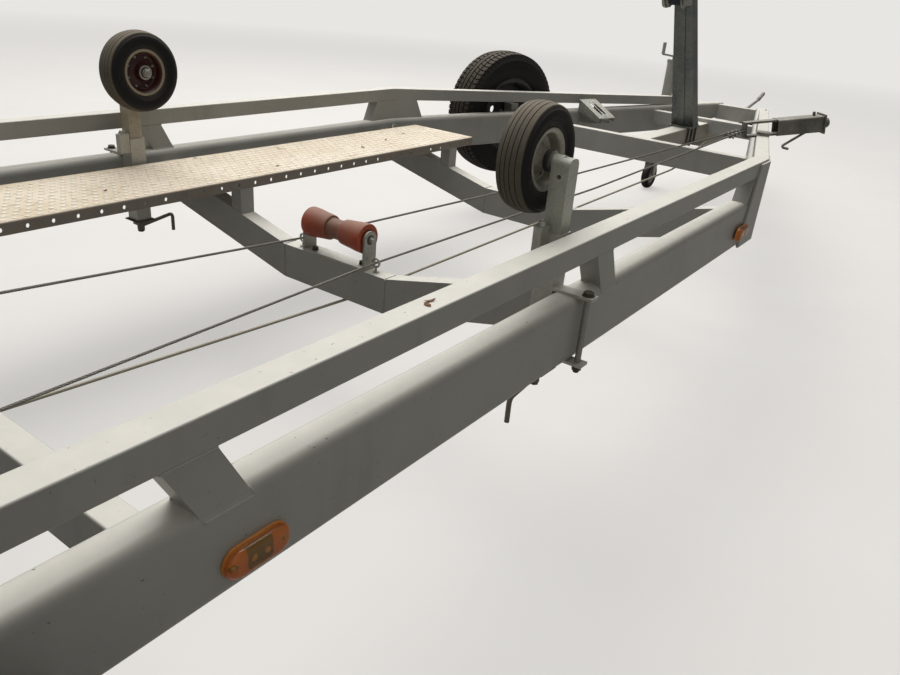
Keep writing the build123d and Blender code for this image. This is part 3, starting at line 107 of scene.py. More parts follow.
def linear(red: int, green: int, blue: int) -> tuple[float, float, float, float]:
    """A colour given as 0 to 255 on a screen, as the shader wants it."""
    screen = np.array([red, green, blue]) / 255
    light = np.where(screen > 0.04045, ((screen + 0.055) / 1.055) ** 2.4, screen / 12.92)
    return (*(float(part) for part in light), 1.0)


@dataclass(frozen=True)
class Place:
    """Local axes: an origin and the directions of the first, second and third coordinate."""

    origin: Points
    first: Points
    second: Points
    third: Points

    @classmethod
    def aimed(cls, origin: Sequence[float], axis: Sequence[float], hint: Sequence[float] = (0, 0, 1)) -> "Place":
        """Axes whose first follows a direction.

        Args:
            origin: the local origin.
            axis: direction of the first axis.
            hint: direction that the third axis leans to.

        Returns:
            The place, with its second axis square to the hint and the first.
        """
        first = unit(np.array(axis, float))
        second = unit(np.cross(np.array(hint, float), first))
        return cls(np.array(origin, float), first, second, np.cross(first, second))

    def put(self, local: Points | Sequence[float]) -> Points:
        """Local points in the trailer's frame: origin + a * first + b * second + c * third."""
        return self.origin + np.asarray(local) @ np.stack([self.first, self.second, self.third])

    def moved(self, a: float, b: float = 0.0, c: float = 0.0) -> "Place":
        """The same axes from another origin, given in local coordinates."""
        return self.at(*self.put([a, b, c]))

    def at(self, x: float, y: float, z: float) -> "Place":
        """The same axes from a point of the trailer's frame."""
        return Place(np.array([x, y, z], float), self.first, self.second, self.third)


AHEAD, LEFT, SKY = np.eye(3)
ALONG = Place(np.zeros(3), AHEAD, LEFT, SKY)
UP = Place(np.zeros(3), SKY, AHEAD, LEFT)
DOWN = Place(np.zeros(3), -SKY, LEFT, AHEAD)
NOSE_ALONG = np.array([cos(CONVERGE), -sin(CONVERGE), 0.0])     # along the left nose, and out of its side
NOSE_OUT = np.array([sin(CONVERGE), cos(CONVERGE), 0.0])


def turned(section: Points, place: Place, count: int) -> Points:
    """A section turned about the place's first axis.

    Args:
        section: points (along, out).
        place: where the axis lies.
        count: steps in the full turn.

    Returns:
        A grid of along * first + out * (cos t * second + sin t * third), with t over a full turn.
    """
    turn = np.arange(count) * (2 * pi / count)
    along, out = section[:, 0, None], section[:, 1, None]
    local = np.stack([along + 0 * turn, out * np.cos(turn), out * np.sin(turn)], axis=-1)
    return place.put(local)


def mirrored(right: Points) -> Points:
    """A section's right half followed by its mirror image, back to the start."""
    return np.concatenate([right, (right * [-1, 1])[::-1]])


def sampled(points: Sequence[Sequence[float]], step: float) -> Points:
    """Points spaced evenly along straight runs, by linear interpolation on the distance run."""
    corners = np.array(points, float)
    reach = np.concatenate([[0], np.cumsum(np.linalg.norm(np.diff(corners, axis=0), axis=1))])
    places = np.linspace(0, reach[-1], max(2, round(reach[-1] / step) + 1))
    return np.stack([np.interp(places, reach, corners[:, axis]) for axis in range(3)], axis=1)


def softened(line: Points, count: int) -> Points:
    """The line with its corners rounded: each point is the weighted mean of an odd count of neighbours."""
    half = count // 2
    weights = np.hanning(count + 2)[1:-1]
    weights = weights / weights.sum()
    before = 2 * line[:1] - line[half:0:-1]
    after = 2 * line[-1:] - line[-2:-half - 2:-1]
    padded = np.concatenate([before, line, after])
    return np.stack([np.convolve(padded[:, axis], weights, "valid") for axis in range(3)], axis=1)


def carried(profile: Points, path: Points, up: Sequence[float] = (0, 0, 1), size: Points | None = None,
            twist: Points | None = None) -> Points:
    """A flat profile carried along a path.

    Args:
        profile: points (a, b), a to the left of the path and b above it.
        path: points of the route.
        up: direction that the second coordinate leans to.
        size: how large the profile is at each path point.
        twist: how far it is turned at each path point.

    Returns:
        A grid of path + a * side + b * rise, after the profile is turned and scaled at each point.
    """
    tangent = unit(np.gradient(path, axis=0))
    side = unit(np.cross(np.array(up, float), tangent))
    rise = np.cross(tangent, side)
    scale = np.ones(len(path)) if size is None else size
    angle = np.zeros(len(path)) if twist is None else twist
    turn_cos, turn_sin = np.cos(angle)[:, None], np.sin(angle)[:, None]
    a = scale[:, None] * (profile[:, 0] * turn_cos - profile[:, 1] * turn_sin)
    b = scale[:, None] * (profile[:, 0] * turn_sin + profile[:, 1] * turn_cos)
    return path[:, None] + a[..., None] * side[:, None] + b[..., None] * rise[:, None]


def ring(radius: float, count: int) -> Points:
    """A circle as a flat profile."""
    turn = np.arange(count) * (2 * pi / count)
    return radius * np.stack([np.cos(turn), np.sin(turn)], axis=1)


def soft_box(width: float, height: float, corner: float) -> Points:
    """A rectangle with round corners as a flat profile: four quarter circles joined by straight sides."""
    turn = np.linspace(0, pi / 2, 4)
    arc = corner * np.stack([np.cos(turn), np.sin(turn)], axis=1)
    quarters = []
    for number, (sx, sy) in enumerate(((1, 1), (-1, 1), (-1, -1), (1, -1))):
        c, s = cos(number * pi / 2), sin(number * pi / 2)
        spun = arc @ np.array([[c, s], [-s, c]])
        quarters.append(spun + [sx * (width / 2 - corner), sy * (height / 2 - corner)])
    return np.concatenate(quarters)


def slab(outline: Points, low: float, high: float, edge: float, place: Place) -> Points:
    """A flat outline given thickness, with its edges eased.

    Args:
        outline: points (b, c) in the place's second and third directions.
        low: start along the first axis.
        high: end along the first axis.
        edge: width of the eased edge.
        place: local axes.

    Returns:
        Four rings: the outline drawn in at both ends and full size between them.
    """
    middle = outline.mean(axis=0)
    reach = np.abs(outline - middle).max()
    drawn = middle + (outline - middle) * (1 - edge / reach)
    rows = [(low, drawn), (low + edge, outline), (high - edge, outline), (high, drawn)]
    local = np.stack([np.column_stack([np.full(len(line), along), line]) for along, line in rows])
    return place.put(local)


def pierced(count: int, pitch: float, height: float, hole: Pair, samples: int = 24) -> Points:
    """Cells in a row, each with an oval hole.

    Args:
        count: cells along the row.
        pitch: length of a cell.
        height: height of the row.
        hole: half length and half height of each hole.
        samples: points round each hole, a multiple of eight.

    Returns:
        An array (cell, ring, sample, 2): ring 0 is the hole, ring 2 the cell's border and ring 1 lies halfway.
    """
    walk = np.arange(samples) * 8 / samples
    square_x = np.clip(2 - np.abs((walk + 6) % 8 - 4), -1, 1)
    square_y = np.clip(2 - np.abs((walk + 4) % 8 - 4), -1, 1)
    square = np.stack([square_x, square_y], axis=1)
    border = square * [pitch / 2, height / 2]
    oval = unit(square) * hole
    rings = np.stack([oval, (oval + border) / 2, border])
    shift = (np.arange(count) - (count - 1) / 2) * pitch
    cells = np.repeat(rings[None], count, axis=0)
    cells[..., 0] += shift[:, None, None]
    return cells


def thick(cells: Points, depth: float) -> Points:
    """Pierced cells as closed rings of points (u, v, w): the front from hole to border, then the back."""
    front = np.concatenate([cells, np.zeros((*cells.shape[:-1], 1))], axis=-1)
    back = front[:, ::-1] + [0, 0, depth]
    return np.concatenate([front, back], axis=1)


def grid_quads(rows: int, cols: int, wrap_rows: bool, wrap_cols: bool) -> Points:
    """Four-cornered faces of a grid numbered row by row, with a wrapped side joined to its start."""
    row = np.arange(rows if wrap_rows else rows - 1)[:, None]
    col = np.arange(cols if wrap_cols else cols - 1)[None, :]
    next_row, next_col = (row + 1) % rows, (col + 1) % cols
    corners = [row * cols + col, row * cols + next_col, next_row * cols + next_col, next_row * cols + col]
    return np.stack(corners, axis=-1).reshape(-1, 4)


@dataclass
class Skin:
    """The points and faces of one piece, gathered shell by shell."""

    points: list[Points] = field(default_factory=list)
    loops: list[Points] = field(default_factory=list)
    totals: list[Points] = field(default_factory=list)
    finishes: list[Points] = field(default_factory=list)
    wear: list[Points] = field(default_factory=list)
    used: int = 0

    def shell(self, grid: Points, finish: int | Points = 0, caps: bool = True, wrap_rows: bool = False,
              wrap_cols: bool = True, wear: Points | None = None) -> None:
        """Add one closed surface, or many copies of it.

        Args:
            grid: points as (rows, columns, 3), or with one more dimension in front for copies.
            finish: number of the finish, or one for each strip of faces between rows.
            caps: close the first and last row with one face each.
            wrap_rows: join the last row to the first.
            wrap_cols: join the last column to the first.
            wear: how worn each point is, shaped as the grid.
        """
        copies = grid.reshape(-1, *grid.shape[-3:])
        number, rows, cols = copies.shape[:3]
        quads = grid_quads(rows, cols, wrap_rows, wrap_cols)
        strips = np.broadcast_to(np.asarray(finish), (rows if wrap_rows else rows - 1,))
        per_quad = np.repeat(strips, cols if wrap_cols else cols - 1)
        offset = np.arange(number) * rows * cols
        quads = (quads[None] + offset[:, None, None]).reshape(-1, 4)
        flat = copies.reshape(-1, 3)
        _, first, where = np.unique(np.round(flat, 6), axis=0, return_index=True, return_inverse=True)
        where = where.reshape(-1)
        quads = where[quads]
        kept = quads != np.roll(quads, -1, axis=1)
        whole = kept.sum(axis=1) > 2
        quads, kept = quads[whole], kept[whole]
        loops, totals = [quads[kept]], [kept.sum(axis=1)]
        numbers = [np.tile(per_quad, number)[whole]]
        if caps and not wrap_rows:
            ends = np.stack([np.arange(cols)[::-1], np.arange(cols) + (rows - 1) * cols])
            ends = where[(ends[None] + offset[:, None, None]).reshape(-1, cols)]
            loops.append(ends.reshape(-1))
            totals.append(np.full(len(ends), cols))
            numbers.append(np.tile([strips[0], strips[-1]], number))
        self.points.append(flat[first])
        self.loops.append(np.concatenate(loops) + self.used)
        self.totals.append(np.concatenate(totals))
        self.finishes.append(np.concatenate(numbers))
        worn = np.zeros(len(flat)) if wear is None else np.broadcast_to(wear, copies.shape[:3]).reshape(-1)
        self.wear.append(worn[first])
        self.used += len(first)

    def turn(self, place: Place, section: Outline, count: int, finish: int | Points = 0, solid: bool = False,
             wear: Points | None = None) -> None:
        """Add a section turned about an axis.

        Args:
            place: where the axis lies.
            section: points (along, out).
            count: steps in the full turn.
            finish: as for a shell.
            solid: the section runs from axis to axis and stays open between its ends.
            wear: how worn each point of the section is.
        """
        grid = turned(np.array(section, float), place, count)
        self.shell(grid, finish, caps=False, wrap_rows=not solid, wear=None if wear is None else wear[None, :, None])

    def piece(self, name: str, body: str, slot: str, finishes: Sequence[Material],
              replaces: Sequence[str] = ()) -> None:
        """Make the gathered shells one object, with its faces turned outward.

        Args:
            name: the piece's name.
            body: the moving body that carries it.
            slot: the record's material slot, not used.
            finishes: materials, in the order of the shells' finish numbers.
            replaces: plain nodes that it stands for.
        """
        mesh = bpy.data.meshes.new(name)
        points, loops = np.concatenate(self.points), np.concatenate(self.loops)
        totals = np.concatenate(self.totals)
        mesh.vertices.add(len(points))
        mesh.vertices.foreach_set("co", points.astype(np.float32).ravel())
        mesh.loops.add(len(loops))
        mesh.loops.foreach_set("vertex_index", loops.astype(np.int32))
        mesh.polygons.add(len(totals))
        mesh.polygons.foreach_set("loop_start", (np.cumsum(totals) - totals).astype(np.int32))
        mesh.update(calc_edges=True)
        for finish in finishes:
            mesh.materials.append(finish)
        mesh.polygons.foreach_set("material_index", np.concatenate(self.finishes).astype(np.int32))
        worn = mesh.attributes.new("wear", "FLOAT", "POINT")
        worn.data.foreach_set("value", np.concatenate(self.wear).astype(np.float32))
        shaped = bmesh.new()
        shaped.from_mesh(mesh)
        bmesh.ops.recalc_face_normals(shaped, faces=shaped.faces)
        shaped.to_mesh(mesh)
        shaped.free()
        mesh.polygons.foreach_set("use_smooth", np.ones(len(mesh.polygons), bool))
        mesh.set_sharp_from_angle(angle=CREASE)
        made = placed(name, mesh)
        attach(made, body)
        if replaces:
            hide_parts(*replaces)
        LOG.info("%s on %s: %d faces", name, body, len(mesh.polygons))


def placed(name: str, data: bpy.types.ID) -> bpy.types.Object:
    """A new object in the scene."""
    made = bpy.data.objects.new(name, data)
    bpy.context.scene.collection.objects.link(made)
    return made


def dress(material: Material, *nodes: str) -> None:
    """Give plain nodes a finish through their own material slots."""
    for name in nodes:
        holder = frame["nodes"][name]
        if not holder.material_slots:
            holder.data.materials.append(material)
        for slot in holder.material_slots:
            slot.material = material
        LOG.info("%s keeps its shape, in %s", name, material.name)


def operator(operation: str, swapped: bool = False) -> Callable:
    """A sum of this Value and another number as one Math node, with the other first when swapped."""
    if swapped:
        return lambda this, other: this.sum(operation, other, this)
    return lambda this, other: this.sum(operation, this, other)


class Value:
    """A number that comes out of a node, with the sums that a pattern needs."""

    def __init__(self, recipe: "Recipe", socket: bpy.types.NodeSocket) -> None:
        """Keep the socket and the recipe that its sums go into."""
        self.recipe = recipe
        self.socket = socket

    def sum(self, operation: str, first: Number, second: Number = 0.0, clamp: bool = False) -> "Value":
        """One Math node on two numbers."""
        settings = {"operation": operation, "use_clamp": clamp}
        return self.recipe.node("ShaderNodeMath", settings, {0: first, 1: second})

    __add__ = __radd__ = operator("ADD")
    __mul__ = __rmul__ = operator("MULTIPLY")
    __pow__ = operator("POWER")
    __sub__ = operator("SUBTRACT")
    __rsub__ = operator("SUBTRACT", swapped=True)

    def clipped(self) -> "Value":
        """This kept between 0 and 1."""
        return self.sum("ADD", self, 0.0, clamp=True)

    def between(self, low: float, high: float) -> "Value":
        """0 at low, 1 at high and an even ramp between them."""
        return self.recipe.node("ShaderNodeMapRange", {"clamp": True}, {0: self, 1: low, 2: high})


class Recipe:
    """The nodes of one finish, or of the world round the stage."""

    def __init__(self, name: str, world: bool = False) -> None:
        """Start an empty material or world with its output."""
        self.holder = (bpy.data.worlds if world else bpy.data.materials).new(name)
        self.holder.use_nodes = True
        self.tree = self.holder.node_tree
        self.tree.nodes.clear()
        self.end = self.tree.nodes.new("ShaderNodeOutputWorld" if world else "ShaderNodeOutputMaterial")
        self.here = self.node("ShaderNodeTexCoord", out="Object")

    def node(self, kind: str, settings: dict | None = None, sockets: dict | None = None,
             out: int | str = 0) -> Value:
        """Make one node.

        Args:
            kind: the node's type.
            settings: its own settings, set first; "stops" holds a ramp's places and colours.
            sockets: values or links of its inputs, by number or name.
            out: the output that is returned.

        Returns:
            The output, ready for sums.
        """
        made = self.tree.nodes.new(kind)
        for key, value in (settings or {}).items():
            if key == "stops":
                for number, (place, colour) in enumerate(value):
                    if number > 1:
                        made.color_ramp.elements.new(place)
                    made.color_ramp.elements[number].position = place
                    made.color_ramp.elements[number].color = colour
            else:
                setattr(made, key, value)
        for key, value in (sockets or {}).items():
            if isinstance(value, Value):
                self.tree.links.new(value.socket, made.inputs[key])
            elif value is not None:
                made.inputs[key].default_value = value
        return Value(self, made.outputs[out])

    def noise(self, scale: float, detail: float = 4.0, rough: float = 0.55,
              stretch: Triple | None = None) -> Value:
        """Cloudy noise about 0.5, stretched along the axes if asked."""
        where = self.here
        if stretch:
            where = self.node("ShaderNodeMapping", {"vector_type": "POINT"}, {"Vector": where, "Scale": stretch})
        sockets = {"Vector": where, "Scale": scale, "Detail": detail, "Roughness": rough}
        return self.node("ShaderNodeTexNoise", {"noise_dimensions": "3D"}, sockets)

    def crystals(self, scale: float) -> Value:
        """An even chance number for each cell of a Voronoi pattern."""
        settings = {"feature": "F1", "voronoi_dimensions": "3D"}
        colour = self.node("ShaderNodeTexVoronoi", settings, {"Vector": self.here, "Scale": scale}, "Color")
        return self.node("ShaderNodeSeparateXYZ", None, {0: colour}, "X")

    def facing_up(self) -> Value:
        """1 where the surface faces the sky and 0 where it is upright or faces down."""
        normal = self.node("ShaderNodeNewGeometry", out="Normal")
        return self.node("ShaderNodeSeparateXYZ", None, {0: normal}, "Z").clipped()

    def worn(self) -> Value:
        """The wear that the mesh carries."""
        return self.node("ShaderNodeAttribute", {"attribute_name": "wear"}, out="Fac")

    def mix(self, share: Number, first: Value | Sequence[int], second: Value | Sequence[int]) -> Value:
        """Two colours mixed, with the share of the second; plain colours are given as 0 to 255."""
        settings = {"data_type": "RGBA", "blend_type": "MIX", "clamp_factor": True}
        ends = [one if isinstance(one, Value) else linear(*one) for one in (first, second)]
        return self.node("ShaderNodeMix", settings, {0: share, 6: ends[0], 7: ends[1]}, 2)

    def close(self, shader: Value) -> Material | bpy.types.World:
        """Put a shader into the output and hand over the material or world."""
        self.tree.links.new(shader.socket, self.end.inputs["Surface"])
        return self.holder

    def finish(self, shade: Value, rough: Number, height: Value, depth: float, strength: float,
               others: dict | None = None) -> Material:
        """Close the recipe with the usual shader.

        Args:
            shade: the colour.
            rough: how rough it is.
            height: the small relief that raises the normal.
            depth: full depth of the relief in metres.
            strength: how far the normal follows it.
            others: more inputs of the shader.
        """
        normal = self.node("ShaderNodeBump", None, {"Strength": strength, "Distance": depth, "Height": height})
        sockets = {"Base Color": shade, "Roughness": rough, "Normal": normal, **(others or {})}
        return self.close(self.node("ShaderNodeBsdfPrincipled", None, sockets))


@dataclass(frozen=True)
class Paint:
    """Sprayed paint with specks, runs and small chips, and a pale colour on what faces up: partly dust, partly
    painted light that makes the tops look lit.
    """

    name: str
    colour: Colour = (146, 145, 139)
    # pale colour laid on up-facing faces: partly dust, partly a painted lit top
    dust_and_lit_top: Colour = (212, 208, 197)
    # share of that pale colour, dust and painted top light together
    dusty: float = 0.85
    rough: float = 0.42
    chips: float = 0.705
    chip_colour: Colour = (84, 74, 62)

    def make(self) -> Material:
        """Build the material."""
        recipe = Recipe(self.name)
        clouds = recipe.noise(2.2, 5, 0.6)
        runs = recipe.noise(9, 4, 0.6, (1.0, 1.0, 0.16))
        grain = recipe.noise(260, 2, 0.5)
        specks = recipe.noise(95, 3, 0.62)
        # mask of dust and painted top light, strongest on faces that point up
        dusted = recipe.facing_up() ** 3 * (0.75 + 0.6 * recipe.noise(14, 6, 0.65)) * self.dusty
        shade = recipe.mix(clouds.between(0.3, 0.7), [part - 7 for part in self.colour],
                           [part + 7 for part in self.colour])
        shade = recipe.mix(runs.between(0.54, 0.78) * 0.22, shade, (96, 88, 76))
        # paints the tops pale: partly dust, partly painted light
        shade = recipe.mix(dusted.clipped(), shade, self.dust_and_lit_top)
        chipped = specks.between(self.chips, self.chips + 0.03)
        shade = recipe.mix(chipped * 0.8, shade, self.chip_colour)
        rough = (self.rough + 0.3 * dusted + 0.12 * clouds).clipped()
        height = grain * 0.5 + clouds - 1.5 * chipped
        return recipe.finish(shade, rough, height, 0.0004, 0.35, {"Coat Weight": 0.12, "Coat Roughness": 0.25})


@dataclass(frozen=True)
class Zinc:
    """Hot-dip zinc: a frosty pattern of crystals, with dull bloom and brown stains."""

    name: str
    light: Colour = (172, 174, 168)
    dark: Colour = (132, 136, 132)
    stain: Colour = (104, 78, 52)
    stained: float = 0.66
    bloom: float = 0.35
    rough: float = 0.38
    metal: float = 0.75

    def make(self) -> Material:
        """Build the material."""
        recipe = Recipe(self.name)
        crystal = recipe.crystals(150) * 0.7
        clouds = recipe.noise(11, 5, 0.6)
        fine = recipe.noise(190, 3, 0.6)
        streak = recipe.noise(16, 5, 0.65, (1.0, 1.0, 0.3))
        shade = recipe.mix(crystal, self.dark, self.light)
        bloomed = clouds.between(0.42, 0.75) * self.bloom + recipe.facing_up() * 0.3
        shade = recipe.mix(bloomed.clipped(), shade, (188, 184, 172))
        stained = streak.between(self.stained, self.stained + 0.12)
        shade = recipe.mix(stained * 0.85, shade, self.stain)
        metal = (self.metal - 0.5 * bloomed - 0.6 * stained).clipped()
        rough = (self.rough + 0.12 * crystal + 0.3 * bloomed + 0.25 * stained).clipped()
        height = crystal * 0.4 + fine * 0.6 + clouds
        return recipe.finish(shade, rough, height, 0.0004, 0.4, {"Metallic": metal})


@dataclass(frozen=True)
class Rubber:
    """Black rubber with brown dust on top and a scuffed grey where the mesh says that it is worn."""

    name: str
    colour: Colour = (27, 26, 25)
    scuffed: Colour = (112, 105, 93)
    dusty: float = 0.35

    def make(self) -> Material:
        """Build the material."""
        recipe = Recipe(self.name)
        clouds = recipe.noise(7, 5, 0.6)
        grit = recipe.noise(150, 4, 0.7)
        dusted = recipe.facing_up() ** 2 * self.dusty * (0.4 + recipe.noise(20, 5, 0.6))
        worn = recipe.worn() * (0.4 + 0.45 * clouds + 0.55 * grit - 0.2)
        shade = recipe.mix(clouds.between(0.35, 0.75) * 0.5, self.colour, (32, 31, 30))
        shade = recipe.mix((worn * (0.55 + 0.5 * recipe.facing_up())).clipped(), shade, self.scuffed)
        shade = recipe.mix(dusted.clipped(), shade, (122, 112, 96))
        rough = (0.62 + 0.25 * worn + 0.15 * dusted).clipped()
        return recipe.finish(shade, rough, grit * 0.6 + clouds, 0.0007, 0.5, {"Specular IOR Level": 0.25})


@dataclass(frozen=True)
class Tread:
    """Steel sheet of the walkway: pale cream tops, partly dust and partly painted light, over darker sides whose
    colour also paints their shade; brown dirt between the pips.
    """

    name: str = "walkway_sheet"

    def make(self) -> Material:
        """Build the material."""
        recipe = Recipe(self.name)
        clouds = recipe.noise(5, 6, 0.62)
        dirt = recipe.noise(38, 6, 0.7)
        specks = recipe.noise(150, 3, 0.6)
        # up-facing faces get the pale colour, partly dust and partly painted light; the rest keep the darker colour,
        # partly bare zinc and partly painted shade
        top = recipe.facing_up() ** 2
        shaded_bare_sides = recipe.mix(clouds, (120, 113, 103), (146, 139, 128))
        dust_and_lit_top = recipe.mix(clouds.between(0.3, 0.7), (206, 188, 160), (226, 214, 194))
        shade = recipe.mix((top * 0.95).clipped(), shaded_bare_sides, dust_and_lit_top)
        shade = recipe.mix(dirt.between(0.54, 0.68) * 0.7, shade, (150, 122, 92))
        # pip tops turn near-white where the mesh marks wear: partly rubbed bare, partly a painted highlight
        shade = recipe.mix(recipe.worn() * 0.7, shade, (236, 232, 220))
        shade = recipe.mix(specks.between(0.69, 0.73) * 0.8, shade, (92, 70, 48))
        rough = (0.62 + 0.2 * clouds - 0.25 * recipe.worn()).clipped()
        metal = (0.25 - 0.25 * top).clipped()
        return recipe.finish(shade, rough, dirt + specks * 0.4, 0.0006, 0.5, {"Metallic": metal})


@dataclass(frozen=True)
class Roller:
    """Cast orange-red resin, clear enough to glow at its rims, dulled by dust on top."""

    name: str = "roller_resin"

    def make(self) -> Material:
        """Build the material."""
        recipe = Recipe(self.name)
        clouds = recipe.noise(22, 5, 0.6)
        scuffs = recipe.noise(60, 4, 0.6, (1.0, 0.15, 1.0))
        dusted = recipe.facing_up() ** 1.2 * (0.25 + 1.1 * clouds)
        shade = recipe.mix(clouds, (150, 52, 24), (172, 78, 40))
        shade = recipe.mix((dusted * 0.95).clipped(), shade, (138, 112, 96))
        shade = recipe.mix(recipe.worn() * (0.45 + 0.5 * clouds), shade, (112, 92, 78))
        rough = (0.3 + 0.45 * dusted + 0.2 * scuffs).clipped()
        glow = {"Subsurface Weight": 0.35, "Subsurface Radius": (0.02, 0.006, 0.002), "Subsurface Scale": 0.6}
        return recipe.finish(shade, rough, scuffs + clouds * 0.5, 0.0005, 0.4, glow)


@dataclass(frozen=True)
class Plastic:
    """Moulded plastic with a fine grain and a little dust."""

    name: str
    colour: Colour = (34, 34, 35)
    rough: float = 0.48

    def make(self) -> Material:
        """Build the material."""
        recipe = Recipe(self.name)
        grain = recipe.noise(420, 2, 0.5)
        clouds = recipe.noise(6, 5, 0.6)
        dusted = recipe.facing_up() ** 2 * (0.2 + 0.8 * clouds) * 0.5
        lighter = [part + 12 for part in self.colour]
        shade = recipe.mix(clouds.between(0.3, 0.75), self.colour, lighter)
        shade = recipe.mix(dusted.clipped(), shade, (140, 132, 118))
        rough = (self.rough + 0.2 * clouds + 0.2 * dusted).clipped()
        return recipe.finish(shade, rough, grain + clouds, 0.0003, 0.35)


@dataclass(frozen=True)
class Lens:
    """Clear coloured plastic of a lamp."""

    name: str
    colour: Colour
    clear: float = 0.75

    def make(self) -> Material:
        """Build the material."""
        recipe = Recipe(self.name)
        haze = recipe.noise(45, 5, 0.6)
        dusted = recipe.facing_up() * (0.1 + 0.5 * haze)
        shade = recipe.mix(haze.between(0.3, 0.8) * 0.4, self.colour,
                           [max(0, part - 22) for part in self.colour])
        shade = recipe.mix((dusted * 0.5).clipped(), shade, (170, 140, 96))
        rough = (0.1 + 0.25 * dusted + 0.1 * haze).clipped()
        return recipe.finish(shade, rough, haze, 0.0003, 0.3, {"Transmission Weight": self.clear, "IOR": 1.49})


@dataclass(frozen=True)
class Steel:
    """Bare or plated steel, from bright bolts to dark wire and rusty castings."""

    name: str
    colour: Colour = (150, 150, 146)
    rust: Colour = (98, 62, 36)
    rusted: float = 0.62
    rough: float = 0.34
    metal: float = 0.9

    def make(self) -> Material:
        """Build the material."""
        recipe = Recipe(self.name)
        clouds = recipe.noise(35, 5, 0.6)
        fine = recipe.noise(320, 3, 0.6)
        spots = recipe.noise(110, 5, 0.65)
        darker = [int(part * 0.82) for part in self.colour]
        shade = recipe.mix(clouds, darker, self.colour)
        rusted = spots.between(self.rusted, self.rusted + 0.1)
        shade = recipe.mix(rusted * 0.85, shade, self.rust)
        metal = (self.metal - 0.7 * rusted).clipped()
        rough = (self.rough + 0.22 * clouds + 0.35 * rusted).clipped()
        return recipe.finish(shade, rough, fine + spots, 0.0003, 0.45, {"Metallic": metal})


@dataclass(frozen=True)
class Leaf:
    """Dry brown leaf."""

    name: str = "dry_leaf"

    def make(self) -> Material:
        """Build the material."""
        recipe = Recipe(self.name)
        clouds = recipe.noise(90, 5, 0.6)
        shade = recipe.mix(clouds, (76, 48, 28), (142, 96, 58))
        return recipe.finish(shade, 0.85, clouds, 0.0008, 0.6)


class Finishes:
    """Every finish of the trailer, each made into a material once."""

    frame = Paint("frame_paint")
    spine = Paint("spine_paint", (150, 142, 130), dusty=0.95, rough=0.55)
    walkway = Tread()
    zinc = Zinc("bright_zinc", (178, 178, 170), (154, 155, 148), stained=0.7)
    mast_zinc = Zinc("mast_zinc", (128, 131, 128), (98, 102, 101), bloom=0.2, stained=0.74)
    post_zinc = Zinc("post_zinc", (186, 188, 176), (162, 165, 153), stained=0.66, metal=0.4)
    old_post = Zinc("old_post", (178, 168, 148), (152, 143, 124), stain=(94, 74, 54), stained=0.55, metal=0.15,
                    rough=0.5)
    sleeve_zinc = Zinc("sleeve_zinc", (188, 187, 178), (168, 168, 158), stained=0.7, metal=0.3)
    bolt = Steel("plated_bolt", (186, 184, 176), rusted=0.72)
    dark_bolt = Steel("dark_bolt", (92, 88, 80), rusted=0.55, rough=0.5, metal=0.6)
    crank = Steel("crank_steel", (128, 122, 108), rusted=0.6, rough=0.45, metal=0.6)
    wire = Steel("wire_rope", (140, 136, 128), rusted=0.66, rough=0.4, metal=0.6)
    rod = Steel("rod_steel", (170, 163, 146), rusted=0.72, rough=0.5, metal=0.3)
    iron = Steel("cast_iron", (74, 72, 68), rusted=0.52, rough=0.6, metal=0.5)
    tread_rubber = Rubber("tyre_rubber", (18, 18, 18), scuffed=(70, 63, 54))
    support_rubber = Rubber("support_rubber", (18, 18, 18), scuffed=(132, 123, 108))
    plain_rubber = Rubber("soft_rubber", scuffed=(80, 78, 74))
    resin = Roller()
    disc_silver = Zinc("wheel_silver", (170, 166, 152), (140, 138, 126), stained=0.72, metal=0.5, rough=0.34,
                       bloom=0.2)
    rim_beige = Paint("rim_beige", (148, 137, 116), dusty=0.4, rough=0.5, chips=0.64)
    disc_red = Paint("disc_red", (62, 21, 17), dust_and_lit_top=(108, 72, 60), dusty=0.3, rough=0.4, chips=0.66)
    rim_black = Paint("rim_black", (38, 38, 41), dust_and_lit_top=(118, 112, 102), dusty=0.4, rough=0.4)
    wheel_grey = Paint("wheel_grey", (160, 161, 160), dusty=0.35, rough=0.38)
    lever = Paint("lever_grey", (122, 121, 116), dust_and_lit_top=(160, 155, 144), dusty=0.5, rough=0.42)
    tube_dark = Zinc("tensioner_zinc", (112, 110, 100), (90, 89, 82), bloom=0.3, metal=0.5, rough=0.5)
    coupling = Zinc("coupling_zinc", (138, 140, 138), (112, 115, 115), bloom=0.3)
    plastic = Plastic("black_plastic")
    guard = Plastic("guard_plastic", (30, 31, 32), rough=0.42)
    board = Plastic("lamp_board", (84, 84, 52), rough=0.6)
    lamp_white = Plastic("lamp_white", (226, 214, 190), rough=0.3)
    marker_base = Plastic("marker_base", (214, 132, 30), rough=0.5)
    amber = Lens("amber_lens", (255, 210, 118), 0.95)
    red = Lens("red_lens", (176, 14, 12))
    webbing = Plastic("webbing", (44, 48, 58), rough=0.8)
    leaf = Leaf()

    def __init__(self) -> None:
        """Build them all."""
        for name, finish in list(vars(Finishes).items()):
            if hasattr(finish, "make"):
                setattr(self, name, finish.make())


class Head(Enum):
    """Kinds of bolt end, as the number of sides of the head."""

    HEX = 6
    ROUND = 20


